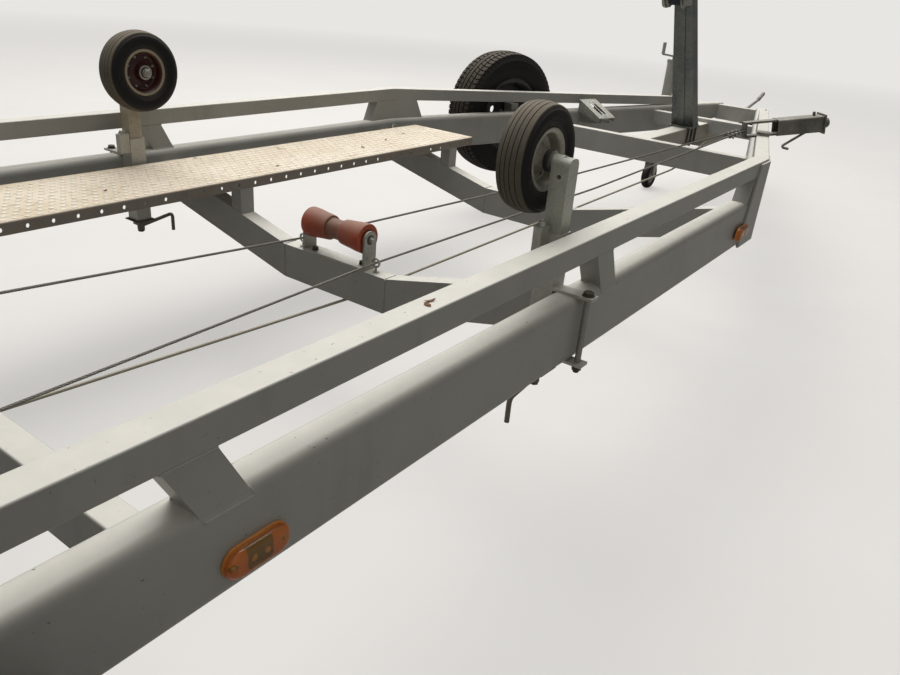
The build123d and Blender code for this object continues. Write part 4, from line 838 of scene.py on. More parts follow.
def bolt(skin: Skin, place: Place, across: float, tall: float, head: Head = Head.HEX, washer: float = 0.62,
         end: float = 0.0, finish: int = 0) -> None:
    """Add a bolt end to a skin.

    Args:
        skin: the piece that it joins.
        place: its seat, with the first axis pointing out of the surface.
        across: width of the head across its flats.
        tall: height of the head.
        head: six flats or a round dome.
        washer: width of the washer, as a share of twice the head.
        end: length of thread beyond the head.
        finish: number of the finish.
    """
    ring_r, plate = across * washer, tall * 0.22
    line = [(0, 0), (0, ring_r), (plate * 0.7, ring_r), (plate, ring_r * 0.95), (plate, 0)]
    skin.turn(place, line, 24, finish, solid=True)
    foot, top = plate * 0.9, plate + tall
    corner = across / 2 / cos(pi / head.value)
    if head is Head.ROUND:
        rise = np.linspace(0, pi / 2, 6)
        line = [(foot, 0), *zip(plate + tall * np.sin(rise), corner * np.cos(rise))]
    else:
        line = [(foot, 0), (foot, corner), (plate + tall * 0.82, corner), (top, corner * 0.8), (top, 0)]
    skin.turn(place, line, head.value, finish, solid=True)
    if end:
        skin.shell(thread(place.moved(top), end, across * 0.3), finish, caps=False)


def thread(place: Place, length: float, radius: float, pitch: float = 0.0025) -> Points:
    """A threaded rod: its outline steps between root and crest twice a pitch, turned about the first axis."""
    count = max(2, int(length / pitch) * 2)
    out = radius * np.where(np.arange(count) % 2 == 0, 0.88, 1.0)
    line = np.column_stack([np.linspace(0, length, count), out])
    return turned(np.concatenate([[[0, 0]], line, [[length, 0]]]), place, 12)


def seam(skin: Skin, corners: Sequence[Sequence[float]], radius: float = 0.0038, seed: int = 1) -> None:
    """Add a weld bead: a ring carried along the seam, its size rippling once each weld pool, a little unevenly."""
    path = softened(sampled(corners, 0.0028), 3)
    chance = np.random.default_rng(seed)
    ripple = 0.92 + 0.14 * np.abs(np.sin(np.arange(len(path)) * pi / 2.6)) + chance.normal(0, 0.04, len(path))
    flat = np.ptp(path[:, 2]) < 0.6 * np.linalg.norm(path[-1] - path[0])
    up = (0, 0, 1) if flat else (1, 0.3, 0)
    skin.shell(carried(ring(radius, 6), path, up, size=ripple))


@dataclass
class SideFrames:
    """Beams, rails, stubs and members: painted solids with their weld seams."""

    stub_feet: tuple[float, ...] = (-0.076, -1.357, -2.638, -3.919, -4.9)
    stub_half: float = 0.046
    stub_lean: float = 0.05
    straight: tuple[Triple, ...] = (    # rear face, top, bottom
        (-4.11, 0.563, 0.451),
        (-1.45, 0.563, 0.451),
        (2.46, 0.598, 0.47),
        (3.56, 0.621, 0.531),
        (4.34, 0.64, 0.545),
    )
    stub_drop: float = 0.02        # how far a stub reaches down over the beam's outer face
    plate_half: Pair = (0.113, 0.185)
    plate_top: float = 0.797

    def build(self, finishes: Finishes) -> None:
        """Dress the nodes and add the seams."""
        dress(finishes.frame, "main_beams", "top_rails", "rail_stubs", "bend_plates", "cross_members",
              "dropped_members")
        dress(finishes.spine, "centre_tubes")
        skin = Skin()
        for side in SIDES:
            self.stub_seams(skin, side)
            self.member_seams(skin, side)
            self.plate_seams(skin, side)
        skin.piece("frame_welds", FRAME, "frame_paint", [finishes.frame])

    def stub_seams(self, skin: Skin, side: int) -> None:
        """Seams round the feet and tops of the leaning stubs."""
        out, inner = side * (FRAME_HALF - 0.001), side * (FRAME_HALF - RAIL)
        lean = self.stub_lean * 0.022 / (RAIL_BOTTOM - BEAM_TOP)
        for number, foot in enumerate(self.stub_feet):
            for end in SIDES:
                x = foot + end * self.stub_half
                seam(skin, [(x, inner, BEAM_TOP), (x, out - side * 0.022, BEAM_TOP),
                            (x + lean * 0.3, out - side * 0.007, BEAM_TOP - 0.006),
                            (x + lean, out, BEAM_TOP - self.stub_drop)], seed=number)
                top = x - self.stub_lean
                seam(skin, [(top, inner, RAIL_BOTTOM), (top, out - side * 0.004, RAIL_BOTTOM)], seed=number)
            for shift, y, level, radius, later in (
                (0.0, inner, BEAM_TOP, 0.0038, 9),
                (lean, out, BEAM_TOP - self.stub_drop - 0.001, 0.0028, 5),
                (-self.stub_lean, out - side * 0.001, RAIL_BOTTOM - 0.001, 0.0026, 7),
            ):
                low, high = (foot + end * self.stub_half + shift for end in SIDES)
                seam(skin, [(low, y, level), (high, y, level)], radius, seed=number + later)

    def member_seams(self, skin: Skin, side: int) -> None:
        """Seams where the cross-members meet one beam's inner face, and at the mitres of the dropped ones."""
        for number, (rear, top, bottom) in enumerate(self.straight):
            corners = [(x, side * side_y(x, BEAM_W)) for x in (rear, rear + MEMBER)]
            for x, y in corners:
                seam(skin, [(x, y, max(bottom, BEAM_BOTTOM + 0.004)), (x, y, top)], 0.0032, seed=number)
            seam(skin, [(x, y, top) for x, y in corners], 0.0034, seed=number + 4)
        y, mitre = side * (FRAME_HALF - BEAM_W), side * DROP_FLAT
        top, above = drop_top(FRAME_HALF - BEAM_W), DROP_TOP + 0.0005
        for number, rear in enumerate(DROPPED_REARS):
            front = rear + MEMBER
            for x in (rear, front):
                seam(skin, [(x, y, BEAM_BOTTOM + 0.012), (x, y, top)], 0.0032, seed=number + 2)
            seam(skin, [(rear, y, top), (front, y, top)], 0.0034, seed=number + 6)
            for x in (rear - 0.0005, front + 0.0005):
                seam(skin, [(x, mitre, DROP_BOTTOM + 0.004), (x, mitre, DROP_TOP - 0.003)], 0.0026, seed=number + 8)
            seam(skin, [(rear + 0.004, mitre, above), (front - 0.004, mitre, above)], 0.0026, seed=number + 3)

    def plate_seams(self, skin: Skin, side: int) -> None:
        """Seams along the sloping ends of the bend plate."""
        for end in SIDES:
            top_x, foot_x = (BEND_X + end * half for half in self.plate_half)
            seam(skin, [(foot_x, side * (side_y(foot_x) + 0.002), BEAM_BOTTOM + 0.006),
                        (top_x, side * (side_y(top_x) + 0.002), self.plate_top - 0.003)], 0.0042, seed=3)


@dataclass
class Walkway:
    """The folded plank with its pips, holes and brackets, and the leaves that lie on it."""

    rear: float = -1.46
    front: float = 1.42
    inner: float = 0.472
    outer: float = 0.857
    top: float = 0.627
    sheet: float = 0.003
    flange: float = 0.04
    lip: float = 0.025
    fold: float = 0.006
    hole_pitch: float = 0.0778
    hole: Pair = (0.0056, 0.0068)
    pip_pitch: float = 0.036
    stool: float = 0.058
    rest: Pair = (-1.45, 0.563)     # rear face and top of the straight member under it
    leaf_spots: tuple[Pair, ...] = (    # the last two lie on the right rail
        (-0.02, 0.83), (0.16, 0.55), (0.72, 0.6), (0.95, 0.66), (1.15, 0.72),
        (0.38, 0.78), (-0.55, 0.6), (-1.0, 0.72), (-0.862, -0.99), (-0.845, -0.982),
    )

    def build(self, finishes: Finishes) -> None:
        """Make the plank and the leaves."""
        skin = Skin()
        self.plank(skin)
        self.pierced_flange(skin)
        self.pips(skin)
        self.brackets(skin)
        skin.piece("walkway_plank", FRAME, "walkway_steel", [finishes.walkway, finishes.frame], ["walkway"])
        self.leaves(finishes)

    def plank(self, skin: Skin) -> None:
        """The deck and outer lip: the sheet's section, rounded at its folds, carried along the trailer."""
        turn = np.linspace(0, pi / 2, 5)
        out, up = self.fold * np.sin(turn), self.fold * np.cos(turn)
        level = self.top - self.fold
        outer_fold = np.column_stack([self.outer - self.fold + out, level + up])
        inner_fold = np.column_stack([self.inner + self.fold - up, level + out])
        over = np.concatenate([inner_fold, outer_fold, [[self.outer, self.top - self.lip]]])
        under = over[::-1].copy()
        under[:, 0] += np.where(under[:, 0] > (self.inner + self.outer) / 2, -self.sheet, self.sheet)
        under[:, 1] -= np.where(under[:, 1] > self.top - 0.02, self.sheet, 0.0)
        section = np.concatenate([over, under])
        along = np.linspace(self.rear, self.front, 60)
        grid = np.stack([np.column_stack([np.full(len(section), x), section]) for x in along])
        skin.shell(grid)

    def pierced_flange(self, skin: Skin) -> None:
        """The inner flange: cells with upright oval holes, laid along the plank's inner side."""
        count = round((self.front - self.rear) / self.hole_pitch)
        height = self.flange - self.fold
        cells = thick(pierced(count, (self.front - self.rear) / count, height, self.hole), self.sheet)
        middle = np.array([(self.rear + self.front) / 2, self.inner, self.top - self.fold - height / 2])
        skin.shell(Place(middle, AHEAD, SKY, LEFT).put(cells), wrap_rows=True)

    def pips(self, skin: Skin) -> None:
        """Raised pips: small flat domes in staggered rows."""
        turn = np.arange(8) * pi / 4
        rings = ((0.0072, -0.0004), (0.0064, 0.0012), (0.0042, 0.002))
        dome = np.stack([np.column_stack([r * 1.5 * np.cos(turn), r * np.sin(turn), 0 * turn + z]) for r, z in rings])
        x = np.arange(self.rear + 0.02, self.front - 0.02, self.pip_pitch)
        y = np.arange(self.inner + 0.018, self.outer - 0.012, self.pip_pitch * 0.9)
        column, row = np.meshgrid(x, y)
        column = column + (np.arange(len(y)) % 2)[:, None] * self.pip_pitch / 2
        spots = np.column_stack([column.ravel(), row.ravel(), np.full(column.size, self.top)])
        grids = dome[None] + spots[:, None, None]
        # wear rises to 1 at each pip's top ring, which is painted near-white: partly rubbed bare, partly a painted
        # highlight
        skin.shell(grids, wear=np.array([0.0, 0.5, 1.0])[None, :, None])

    def brackets(self, skin: Skin) -> None:
        """Painted stools under the plank, square tubes as wide as the members."""
        under = self.top - self.sheet
        for rear, level in ((DROPPED_REARS[1], None), (DROPPED_REARS[2], None), self.rest):
            for near in (self.inner, self.outer - self.stool):
                feet = [level or drop_top(y) for y in (near, near + self.stool)]
                low, high = near + 0.0005, near + self.stool - 0.0005
                outline = np.array([(low, feet[0]), (high, feet[1]), (high, under), (low, under)])
                skin.shell(slab(outline, 0.0, MEMBER, 0.003, ALONG.at(rear, 0.0, 0.0)), 1)

    def leaves(self, finishes: Finishes) -> None:
        """Dry leaves: thin ovals, curled along their length and turned each its own way."""
        skin = Skin()
        chance = np.random.default_rng(11)
        turn = np.arange(12) * pi / 6
        for x, y in self.leaf_spots:
            z = self.top if y > 0 else RAIL_TOP
            long, wide = chance.uniform(0.008, 0.016), chance.uniform(0.003, 0.006)
            heading, curl = chance.uniform(0, pi), chance.uniform(12, 30)
            rings = []
            for share, lift in ((0.45, 0.0), (1.0, 0.0), (1.0, 0.0006), (0.45, 0.0006)):
                a, b = share * long * np.cos(turn), share * wide * np.sin(turn)
                high = z + 0.0012 + lift + curl * a * a
                rings.append(np.column_stack([x + a * cos(heading) - b * sin(heading),
                                              y + a * sin(heading) + b * cos(heading), high]))
            skin.shell(np.stack(rings))
        skin.piece("dry_leaves", FRAME, "walkway_steel", [finishes.leaf])


@dataclass(frozen=True)
class Tyre:
    """A tyre's outline and tread."""

    radius: float
    width: float
    bead: float
    crown_half: float
    crown_drop: float
    rim_in: float
    wall_end: float
    grooves: tuple[float, ...]
    groove_w: float
    groove_depth: float
    blocks: int = 0
    steps: int = 96

    def rows(self) -> Points:
        """Rows across the tread: place across, distance out, depth of round grooves, share of cross cuts.

        Returns:
            An array of rows (across, out, ring depth, cut share). The crown falls as the square of the distance
            from the middle, and the walls bulge as half a sine wave.
        """
        wall = 0.0008
        line = [(-self.crown_half, 0.0), (self.crown_half, 0.0)]
        middles = sorted({*self.grooves, *(-groove for groove in self.grooves)})
        for middle in middles:
            low, high = middle - self.groove_w / 2, middle + self.groove_w / 2
            line += [(low, 0.0), (low + wall, 1.0), (high - wall, 1.0), (high, 0.0)]
        edges = [-self.crown_half, *middles, self.crown_half]
        line += [((low + high) / 2, 0.0) for low, high in zip(edges, edges[1:])]
        crown = np.array(sorted(line))
        across, deep = crown[:, 0], crown[:, 1]
        out = self.radius - self.crown_drop * (across / self.crown_half) ** 2
        cut = (np.abs(across) > min(abs(groove) for groove in self.grooves)).astype(float)
        crown_rows = np.column_stack([across, out, deep, cut])
        share = np.array([0.04, 0.09, 0.15, 0.22, 0.24, 0.27, 0.29, 0.4, 0.5, 0.62, 0.74, 0.84, 0.87, 0.9, 1.0])
        bulge = self.width / 2 - (self.crown_half + self.wall_end) / 2
        raised = 0.0009 * np.isin(share, (0.24, 0.27, 0.87))
        straight = self.crown_half + (self.wall_end - self.crown_half) * share
        wall_across = straight + bulge * np.sin(pi * share) - 0.0009 + raised
        shoulder = self.radius - self.crown_drop
        wall_out = shoulder - (shoulder - self.bead - 0.016) * share
        right = np.column_stack([wall_across, wall_out, 0 * share, np.clip(1 - share / 0.2, 0, 1)])
        right = np.concatenate([right, [(self.width / 2 - self.rim_in, self.bead, 0, 0)]])
        return np.concatenate([right[::-1] * [-1, 1, 1, 1], crown_rows, right])

    def shell(self, skin: Skin, place: Place) -> None:
        """Turn the rows about the wheel's axis, with cross cuts sunk between blocks.

        Args:
            skin: the piece that it joins.
            place: the wheel's middle, with the first axis along the axle.
        """
        rows = self.rows()
        across, out, deep, cut = (rows[:, column, None] for column in range(4))
        if self.blocks:
            offsets = np.array([0.0, 0.05, 0.2, 0.25, 0.62])
            pit = np.tile([0.0, 1.0, 1.0, 0.0, 0.0], self.blocks)[None]
            turn = ((np.arange(self.blocks)[:, None] + offsets).ravel() / self.blocks * 2 * pi)[None]
            skew = 0.9 * np.sin(across / self.crown_half * 2.2) * 2 * pi / self.blocks
        else:
            turn = (np.arange(self.steps) * 2 * pi / self.steps)[None]
            pit, skew = np.zeros_like(turn), np.zeros_like(across)
        sunk = np.maximum(deep, cut * pit) * self.groove_depth
        distance, angle = out - sunk, turn + skew
        local = np.stack([across + 0 * angle, distance * np.cos(angle), distance * np.sin(angle)], axis=-1)
        top = (np.abs(across) <= self.crown_half + 0.001) * (sunk < 1e-6)
        skin.shell(place.put(local), wrap_rows=True, wear=(top * 1.0)[None])


SUPPORT_TYRE = Tyre(radius=0.14, width=0.09, bead=0.0745, crown_half=0.0345, crown_drop=0.006, rim_in=0.017,
                    wall_end=0.0392, grooves=(0.007, 0.0212), groove_w=0.0024, groove_depth=0.0032, steps=120)
ROAD_TYRE = Tyre(radius=0.37, width=0.215, bead=0.206, crown_half=0.0875, crown_drop=0.01, rim_in=0.028,
                 wall_end=0.089, grooves=(0.016, 0.052), groove_w=0.009, groove_depth=0.008, blocks=70)


def plug(start: float, end: float, out: float) -> Outline:
    """Outline of a round plug, from the axis outward."""
    return (start, 0.0), (start, out), (end, out), (end, 0.0)


def box_outline(low: Pair, high: Pair) -> Points:
    """A rectangle between two corners as a flat outline."""
    return np.array([low, (high[0], low[1]), high, (low[0], high[1])])


@dataclass
class SupportStation:
    """One bilge support: its wheel's tyre and dish, and the nuts of its post and clamp."""

    name: str
    x: float
    side: int
    sleeve_top: float
    red_centre: bool
    wheel_y: float = 0.822
    wheel_z: float = 0.968
    post_y: float = 0.905
    clamp_y: float = 1.03
    clamp_back: float = 0.015
    clamp_thread: float = 0.225
    ear_back: float = 0.05
    ear_inside: float = 0.015
    sleeve_bottom: float = 0.403
    crank_bottom: float = 0.359
    foot_half: float = 0.04
    bolt_circle: float = 0.053
    paint_line: float = 0.069

    def build(self, finishes: Finishes) -> None:
        """Dress the station's nodes and make its pieces."""
        dress(finishes.old_post if self.side > 0 else finishes.post_zinc, "support_post_" + self.name)
        body = "support_wheel_" + self.name
        place = Place.aimed((self.x, self.side * self.wheel_y, self.wheel_z), (0, -self.side, 0))
        tyre = Skin()
        SUPPORT_TYRE.shell(tyre, place)
        tyre.piece("support_tread_" + self.name, body, "tyre", [finishes.support_rubber],
                   ["support_tyre_" + self.name])
        dish = Skin()
        self.dish(dish, place)
        centre = finishes.disc_red if self.red_centre else finishes.disc_silver
        rim = finishes.rim_beige if self.red_centre else finishes.disc_silver
        dish.piece("support_dish_" + self.name, body, "support_rim",
                   [rim, centre, finishes.bolt, finishes.plastic], ["support_rim_" + self.name])
        nuts = Skin()
        bolt(nuts, place.moved(0.041), 0.0255, 0.011, washer=0.6, end=0.006)
        for start, out in ((-0.0475, 0.0262), (-0.0512, 0.0232)):
            nuts.turn(place, plug(start, start - 0.0024, out), 32, solid=True)
        nuts.piece("stub_nut_" + self.name, "support_post_" + self.name, "galvanised", [finishes.bolt])

    def dish(self, skin: Skin, place: Place) -> None:
        """The pressed wheel: a closed section with rolled rims and a coned hub, turned, with its bolts."""
        section = MM * np.array([
            (37, 12.5), (37, 22.5), (35, 23.8), (16, 25.5), (9, 31), (5.5, 39), (5, 56), (8.5, 60.8), (25, 64),
            (31.5, 66.5), (35, 70.5), (36.6, 75.5), (37, 79), (35, 80.3), (32.5, 79.6), (29.8, 73.8),
            (-29.8, 73.8), (-32.5, 79.6), (-35, 80.3), (-37, 79), (-36.6, 75.5), (-35, 70.5), (-31.5, 66.5),
            (-25, 64), (-4, 60.5), (-1, 56), (-1, 42), (-10, 33), (-23, 26.2), (-37.5, 24), (-39, 22.5),
            (-39, 12.5),
        ])
        skin.turn(place, section, 72, np.where(section[:, 1] < self.paint_line, 1, 0))
        skin.turn(place, ((0.033, 0.019), (0.033, 0.025), (0.0378, 0.025), (0.038, 0.019)), 40, 2)
        seal = ((-0.034, 0.0207), (-0.034, 0.0285), (-0.0445, 0.029), (-0.0462, 0.0272), (-0.0462, 0.0207))
        skin.turn(place, seal, 40, 3)
        skin.turn(place, ((0.036, 0.0126), (0.036, 0.0192), (0.0374, 0.0192), (0.0374, 0.0126)), 40, 3)
        count = 8 if self.red_centre else 5
        for number in range(count):
            angle = 2 * pi * number / count + 0.35
            for along, out in ((0.005, 1), (-0.001, -1)):
                spot = place.put([along, self.bolt_circle * cos(angle), self.bolt_circle * sin(angle)])
                seat = Place.aimed(spot, place.first * out, place.third)
                if self.red_centre:
                    bolt(skin, seat, 0.0075, 0.004, finish=2)
                else:
                    self.ringed_hole(skin, seat)

    def ringed_hole(self, skin: Skin, seat: Place) -> None:
        """A bolt hole with a raised rim, closed by a black disc that paints the shade inside the hole."""
        rim = ((-0.001, 0.0046), (0.0012, 0.005), (0.0017, 0.0062), (0.0012, 0.0075), (-0.001, 0.008))
        skin.turn(seat, rim, 20, 1)
        # black disc in the hole: painted shade in place of the dish's dark inside
        skin.turn(seat, plug(-0.001, 0.0003, 0.0047), 16, 3, solid=True)

    def fasten(self, skin: Skin) -> None:
        """Threads, nuts and washers of the clamp over the beam, and the bolts on the sleeve."""
        x, y, post_y = self.x - self.clamp_back, self.side * self.clamp_y, self.side * self.post_y
        skin.shell(thread(UP.at(x, y, BEAM_BOTTOM - 0.03), self.clamp_thread, 0.0086), 1, caps=False)
        bolt(skin, DOWN.at(x, y, BEAM_BOTTOM - 0.008), 0.024, 0.013, washer=0.72, finish=1)
        bolt(skin, UP.at(x, y, BEAM_TOP + 0.008), 0.024, 0.01, washer=0.7, finish=1)
        ear = UP.at(self.x - self.ear_back, self.side * (self.post_y - self.ear_inside), self.sleeve_top + 0.021)
        bolt(skin, ear, 0.024, 0.011, Head.ROUND)
        foot = box_outline((-self.foot_half, -self.foot_half), (self.foot_half, self.foot_half))
        low = self.sleeve_bottom - 0.005
        skin.shell(slab(foot, low, low + 0.006, 0.0015, UP.at(self.x, post_y, 0.0)), 1)
        bolt(skin, DOWN.at(self.x, post_y, self.crank_bottom), 0.022, 0.008, finish=1)


@dataclass
class KeelRoller:
    """A resin roller of two cones with a waist between them."""

    name: str
    x: float
    z: float = 0.543
    half: float = 0.134
    leg_out: float = 0.1462
    bolt_out: float = 0.105
    bar_top: float = 0.445

    def build(self, finishes: Finishes) -> None:
        """Make the roller."""
        end = self.half / MM
        right = MM * np.array([
            (end - 4, 10.5), (end - 4, 30), (end - 0.5, 34), (end, 48), (end - 1, 51.3), (end - 4, 52.5),
            (end - 30, 51.5), (75, 48), (38, 44.5), (33.5, 43.8), (31.5, 42), (31, 36.5), (28.5, 35.2),
            (15, 35),
        ])
        section = mirrored(right)
        distance = np.abs(section[:, 0])
        worn = np.where(distance < 0.032, 1.0, np.where(distance < 0.08, 0.4, 0.0))
        skin = Skin()
        skin.turn(Place.aimed((self.x, 0, self.z), (0, 1, 0)), section, 80, wear=worn)
        skin.piece("roller_" + self.name, "keel_roller_" + self.name, "roller_orange", [finishes.resin],
                   ["keel_roller_" + self.name])

    def fasten(self, skin: Skin) -> None:
        """Nuts on the pin's ends, collars at the legs and bolts through the bracket's base."""
        pin = ((0.003, 0.0), (0.003, 0.0078), (0.0125, 0.0078), (0.0145, 0.0062), (0.0145, 0.0))
        for side in SIDES:
            seat = Place.aimed((self.x, side * self.leg_out, self.z), (0, side, 0))
            bolt(skin, seat, 0.018, 0.004, washer=0.95, finish=1)
            skin.turn(seat, pin, 24, solid=True)
            bolt(skin, UP.at(self.x - side * 0.008, side * self.bolt_out, self.bar_top), 0.019, 0.01, washer=0.6,
                 finish=1)


@dataclass
class RoadWheel:
    """A tyre on a steel disc wheel, with a row of vent holes and, on the axles, a drum, hub and nuts."""

    width: float = 0.215
    holes: int = 12
    vent_r: float = 0.131
    vent_band: float = 0.04
    vent_half: Pair = (0.15, 0.0155)    # half angle and half height of a vent
    sheet: float = 0.005
    count: int = 96
    nut_circle: float = 0.056
    axle_bore: float = 0.03
    spare_bore: float = 0.0255
    face_end: float = 0.1775
    track_half: float = 1.148
    spare_ahead: float = 0.952
    spare_out: float = 0.132
    spare_z: float = 0.615

    def face(self, out: Points) -> Points:
        """How far the disc's outer face lies along the axle at a distance out, by straight runs."""
        half = self.width / 2
        places = (0.025, 0.06, 0.084, 0.128, 0.178)
        along = (half - 0.064, half - 0.062, half - 0.066, half - 0.053, half - 0.062)
        return np.interp(out, places, along)

    def disc(self, skin: Skin, place: Place, bore: float) -> None:
        """The rim and the disc with its vents.

        Args:
            skin: the piece that it joins.
            place: the wheel's middle, with the first axis pointing out of its face.
            bore: radius of the hole in the middle.
        """
        half = self.width / 2 / MM
        rim = MM * np.array([
            (half - 62, 176), (half - 36, 183.5), (half - 22, 189), (half - 15, 198), (half - 13.5, 210),
            (half - 14, 218.5), (half - 17, 220), (half - 20.5, 215), (half - 25, 205.6), (34, 205.6),
            (24, 188), (-24, 188), (-34, 205.6), (-half + 25, 205.6), (-half + 20.5, 215), (-half + 17, 220),
            (-half + 14, 218.5), (-half + 13.5, 210), (-half + 15, 198), (-half + 22, 189), (-40, 185),
            (-24, 183.5), (20, 183), (half - 68, 174),
        ])
        skin.turn(place, rim, self.count)
        low, high = self.vent_r - self.vent_band / 2, self.vent_r + self.vent_band / 2
        for start, stop in ((bore, low), (high, self.face_end)):
            out = np.linspace(start, stop, 8)
            front = np.column_stack([self.face(out), out])
            skin.turn(place, np.concatenate([front, (front - [self.sheet, 0])[::-1]]), self.count)
        cells = thick(pierced(self.holes, 2 * pi / self.holes, self.vent_band, self.vent_half), self.sheet)
        angle, out = cells[..., 0], self.vent_r + cells[..., 1]
        local = np.stack([self.face(out) - cells[..., 2], out * np.cos(angle), out * np.sin(angle)], axis=-1)
        skin.shell(place.put(local), wrap_rows=True)

    def nuts(self, skin: Skin, place: Place) -> None:
        """Five wheel nuts on a ring, in the piece's second finish."""
        out = self.nut_circle
        along = float(self.face(np.array(out)))
        for number in range(5):
            angle = 2 * pi * number / 5 + 0.3
            spot = place.put([along, out * cos(angle), out * sin(angle)])
            seat = Place.aimed(spot, place.first, place.third)
            bolt(skin, seat, 0.019, 0.015, end=0.004, finish=1)

    def hub(self, skin: Skin, place: Place) -> None:
        """The brake drum behind the disc, in the third finish, and the hub's cap, in the second."""
        half = self.width / 2 / MM
        back = 30 - half
        drum = MM * np.array([
            (half - 72, 30), (half - 71, 100), (half - 76, 122), (half - 90, 125.5), (0, 125.5), (-4, 122.5),
            (-20, 122.5), (-24, 125.5), (back, 125.5), (back - 1, 112), (back + 6, 108), (back + 6, 30),
        ])
        skin.turn(place, drum, 72, 2)
        rise = np.linspace(0, pi / 2, 6)
        cap = [(half - 68, 0), (half - 68, 36), (half - 58, 36), (half - 56, 31),
               *zip(half - 46 + 15 * np.sin(rise), 29 * np.cos(rise))]
        skin.turn(place, MM * np.array(cap), 40, 1, solid=True)

    def on_axle(self, row: str, word: str, x: float, side: int, finishes: Finishes) -> None:
        """One wheel of the axles.

        Args:
            row: front or rear.
            word: left or right.
            x: its place along the trailer.
            side: 1 on the left and -1 on the right.
            finishes: the materials.
        """
        place = Place.aimed((x, side * self.track_half, AXLE_Z), (0, side, 0))
        spot = f"{row}_{word}"
        body = "road_wheel_" + spot
        tyre, wheel = Skin(), Skin()
        ROAD_TYRE.shell(tyre, place)
        tyre.piece("road_tread_" + spot, body, "tyre", [finishes.tread_rubber], ["road_tyre_" + spot])
        self.disc(wheel, place, self.axle_bore)
        self.nuts(wheel, place)
        self.hub(wheel, place)
        wheel.piece("road_disc_" + spot, body, "wheel_steel",
                    [finishes.wheel_grey, finishes.bolt, finishes.iron], [body])

    def spare(self, finishes: Finishes) -> None:
        """The spare, with the outer face of its disc towards the frame, on its stud."""
        x = BEND_X + self.spare_ahead
        middle = np.array([x, side_y(x), self.spare_z]) + NOSE_OUT * self.spare_out
        place = Place.aimed(middle, -NOSE_OUT)
        tyre, wheel, knob = Skin(), Skin(), Skin()
        ROAD_TYRE.shell(tyre, place)
        tyre.piece("spare_tread", FRAME, "tyre", [finishes.tread_rubber], ["spare_tyre"])
        self.disc(wheel, place, self.spare_bore)
        self.nuts(wheel, place)
        wheel.piece("spare_disc", FRAME, "rim_black", [finishes.rim_black, finishes.bolt], ["spare_rim"])
        dress(finishes.zinc, "spare_bracket")
        bolt(knob, Place.aimed(middle, NOSE_OUT).moved(-0.0405), 0.055, 0.022, washer=0.75)
        knob.piece("spare_nut", FRAME, "galvanised", [finishes.bolt])


@dataclass
class Mudguards:
    """Tandem guards with swages, a rolled skirt and steel stays."""

    front: float = WHEELS_X[0]
    rear: float = WHEELS_X[1]
    reach: float = 0.415
    inner: float = 1.03
    outer: float = 1.275
    foot_z: float = 0.432
    end_stay: Pair = (0.5, 0.53)
    stay_wide: float = 0.05

    def build(self, finishes: Finishes) -> None:
        """Make both guards and their stays."""
        skin = Skin()
        for side in SIDES:
            self.guard(skin, side)
            self.stays(skin, side)
        skin.piece("tandem_guards", FRAME, "mudguard_plastic", [finishes.guard, finishes.zinc, finishes.bolt],
                   ["mudguards"])

    def guard(self, skin: Skin, side: int) -> None:
        """One guard: its section carried over two quarter circles and the straight between them."""
        start = np.arcsin((self.foot_z - AXLE_Z) / self.reach)
        arc = np.linspace(start, pi / 2, 28)
        ahead = np.column_stack([np.cos(arc), np.sin(arc)])
        flat = np.column_stack([np.zeros(14), np.ones(14)])
        out = np.concatenate([ahead, flat, ahead[::-1] * [-1, 1]])
        middle_x = np.concatenate([np.full(28, self.front), np.linspace(self.front, self.rear, 16)[1:-1],
                                   np.full(28, self.rear)])
        across = np.linspace(self.inner, self.outer - 0.004, 36)
        swage = np.abs(np.sin((across - self.inner) / (self.outer - self.inner) * 4 * pi)) ** 3
        top = np.column_stack([across, 0.0012 + 0.0028 * swage])
        edge = self.outer
        skirt = np.array([(edge, 0.0), (edge, -0.022), (edge - 0.006, -0.025), (edge - 0.006, -0.0225),
                          (edge - 0.003, -0.021), (edge - 0.003, -0.003)])
        section = np.concatenate([top, skirt, top[::-1] - [0.0, 0.003], [(self.inner, -0.012)]])
        distance = self.reach + section[:, 1]
        grid = np.stack([
            middle_x[:, None] + out[:, 0, None] * distance,
            np.broadcast_to(side * section[:, 0], (len(out), len(section))),
            AXLE_Z + out[:, 1, None] * distance,
        ], axis=-1)
        skin.shell(grid)

    def stays(self, skin: Skin, side: int) -> None:
        """Flat stays at the top and at both ends, with their bolts."""
        middle = (self.front + self.rear) / 2
        level = AXLE_Z + self.reach
        half = self.stay_wide / 2
        across = Place(np.zeros(3), ALONG.second * side, ALONG.first, ALONG.third)
        top = box_outline((middle - half, level - 0.028), (middle + half, level - 0.004))
        skin.shell(slab(top, FRAME_HALF, self.outer - 0.012, 0.002, across), 1)
        for end in (self.front + self.reach - 0.018, self.rear - self.reach - 0.032):
            bar = box_outline((end, self.end_stay[0]), (end + self.stay_wide, self.end_stay[1]))
            skin.shell(slab(bar, FRAME_HALF, self.inner + 0.06, 0.002, across), 1)
        for y in (1.08, 1.225):
            bolt(skin, UP.at(middle, side * y, level + 0.001), 0.013, 0.0025, Head.ROUND, washer=1.0, finish=2)


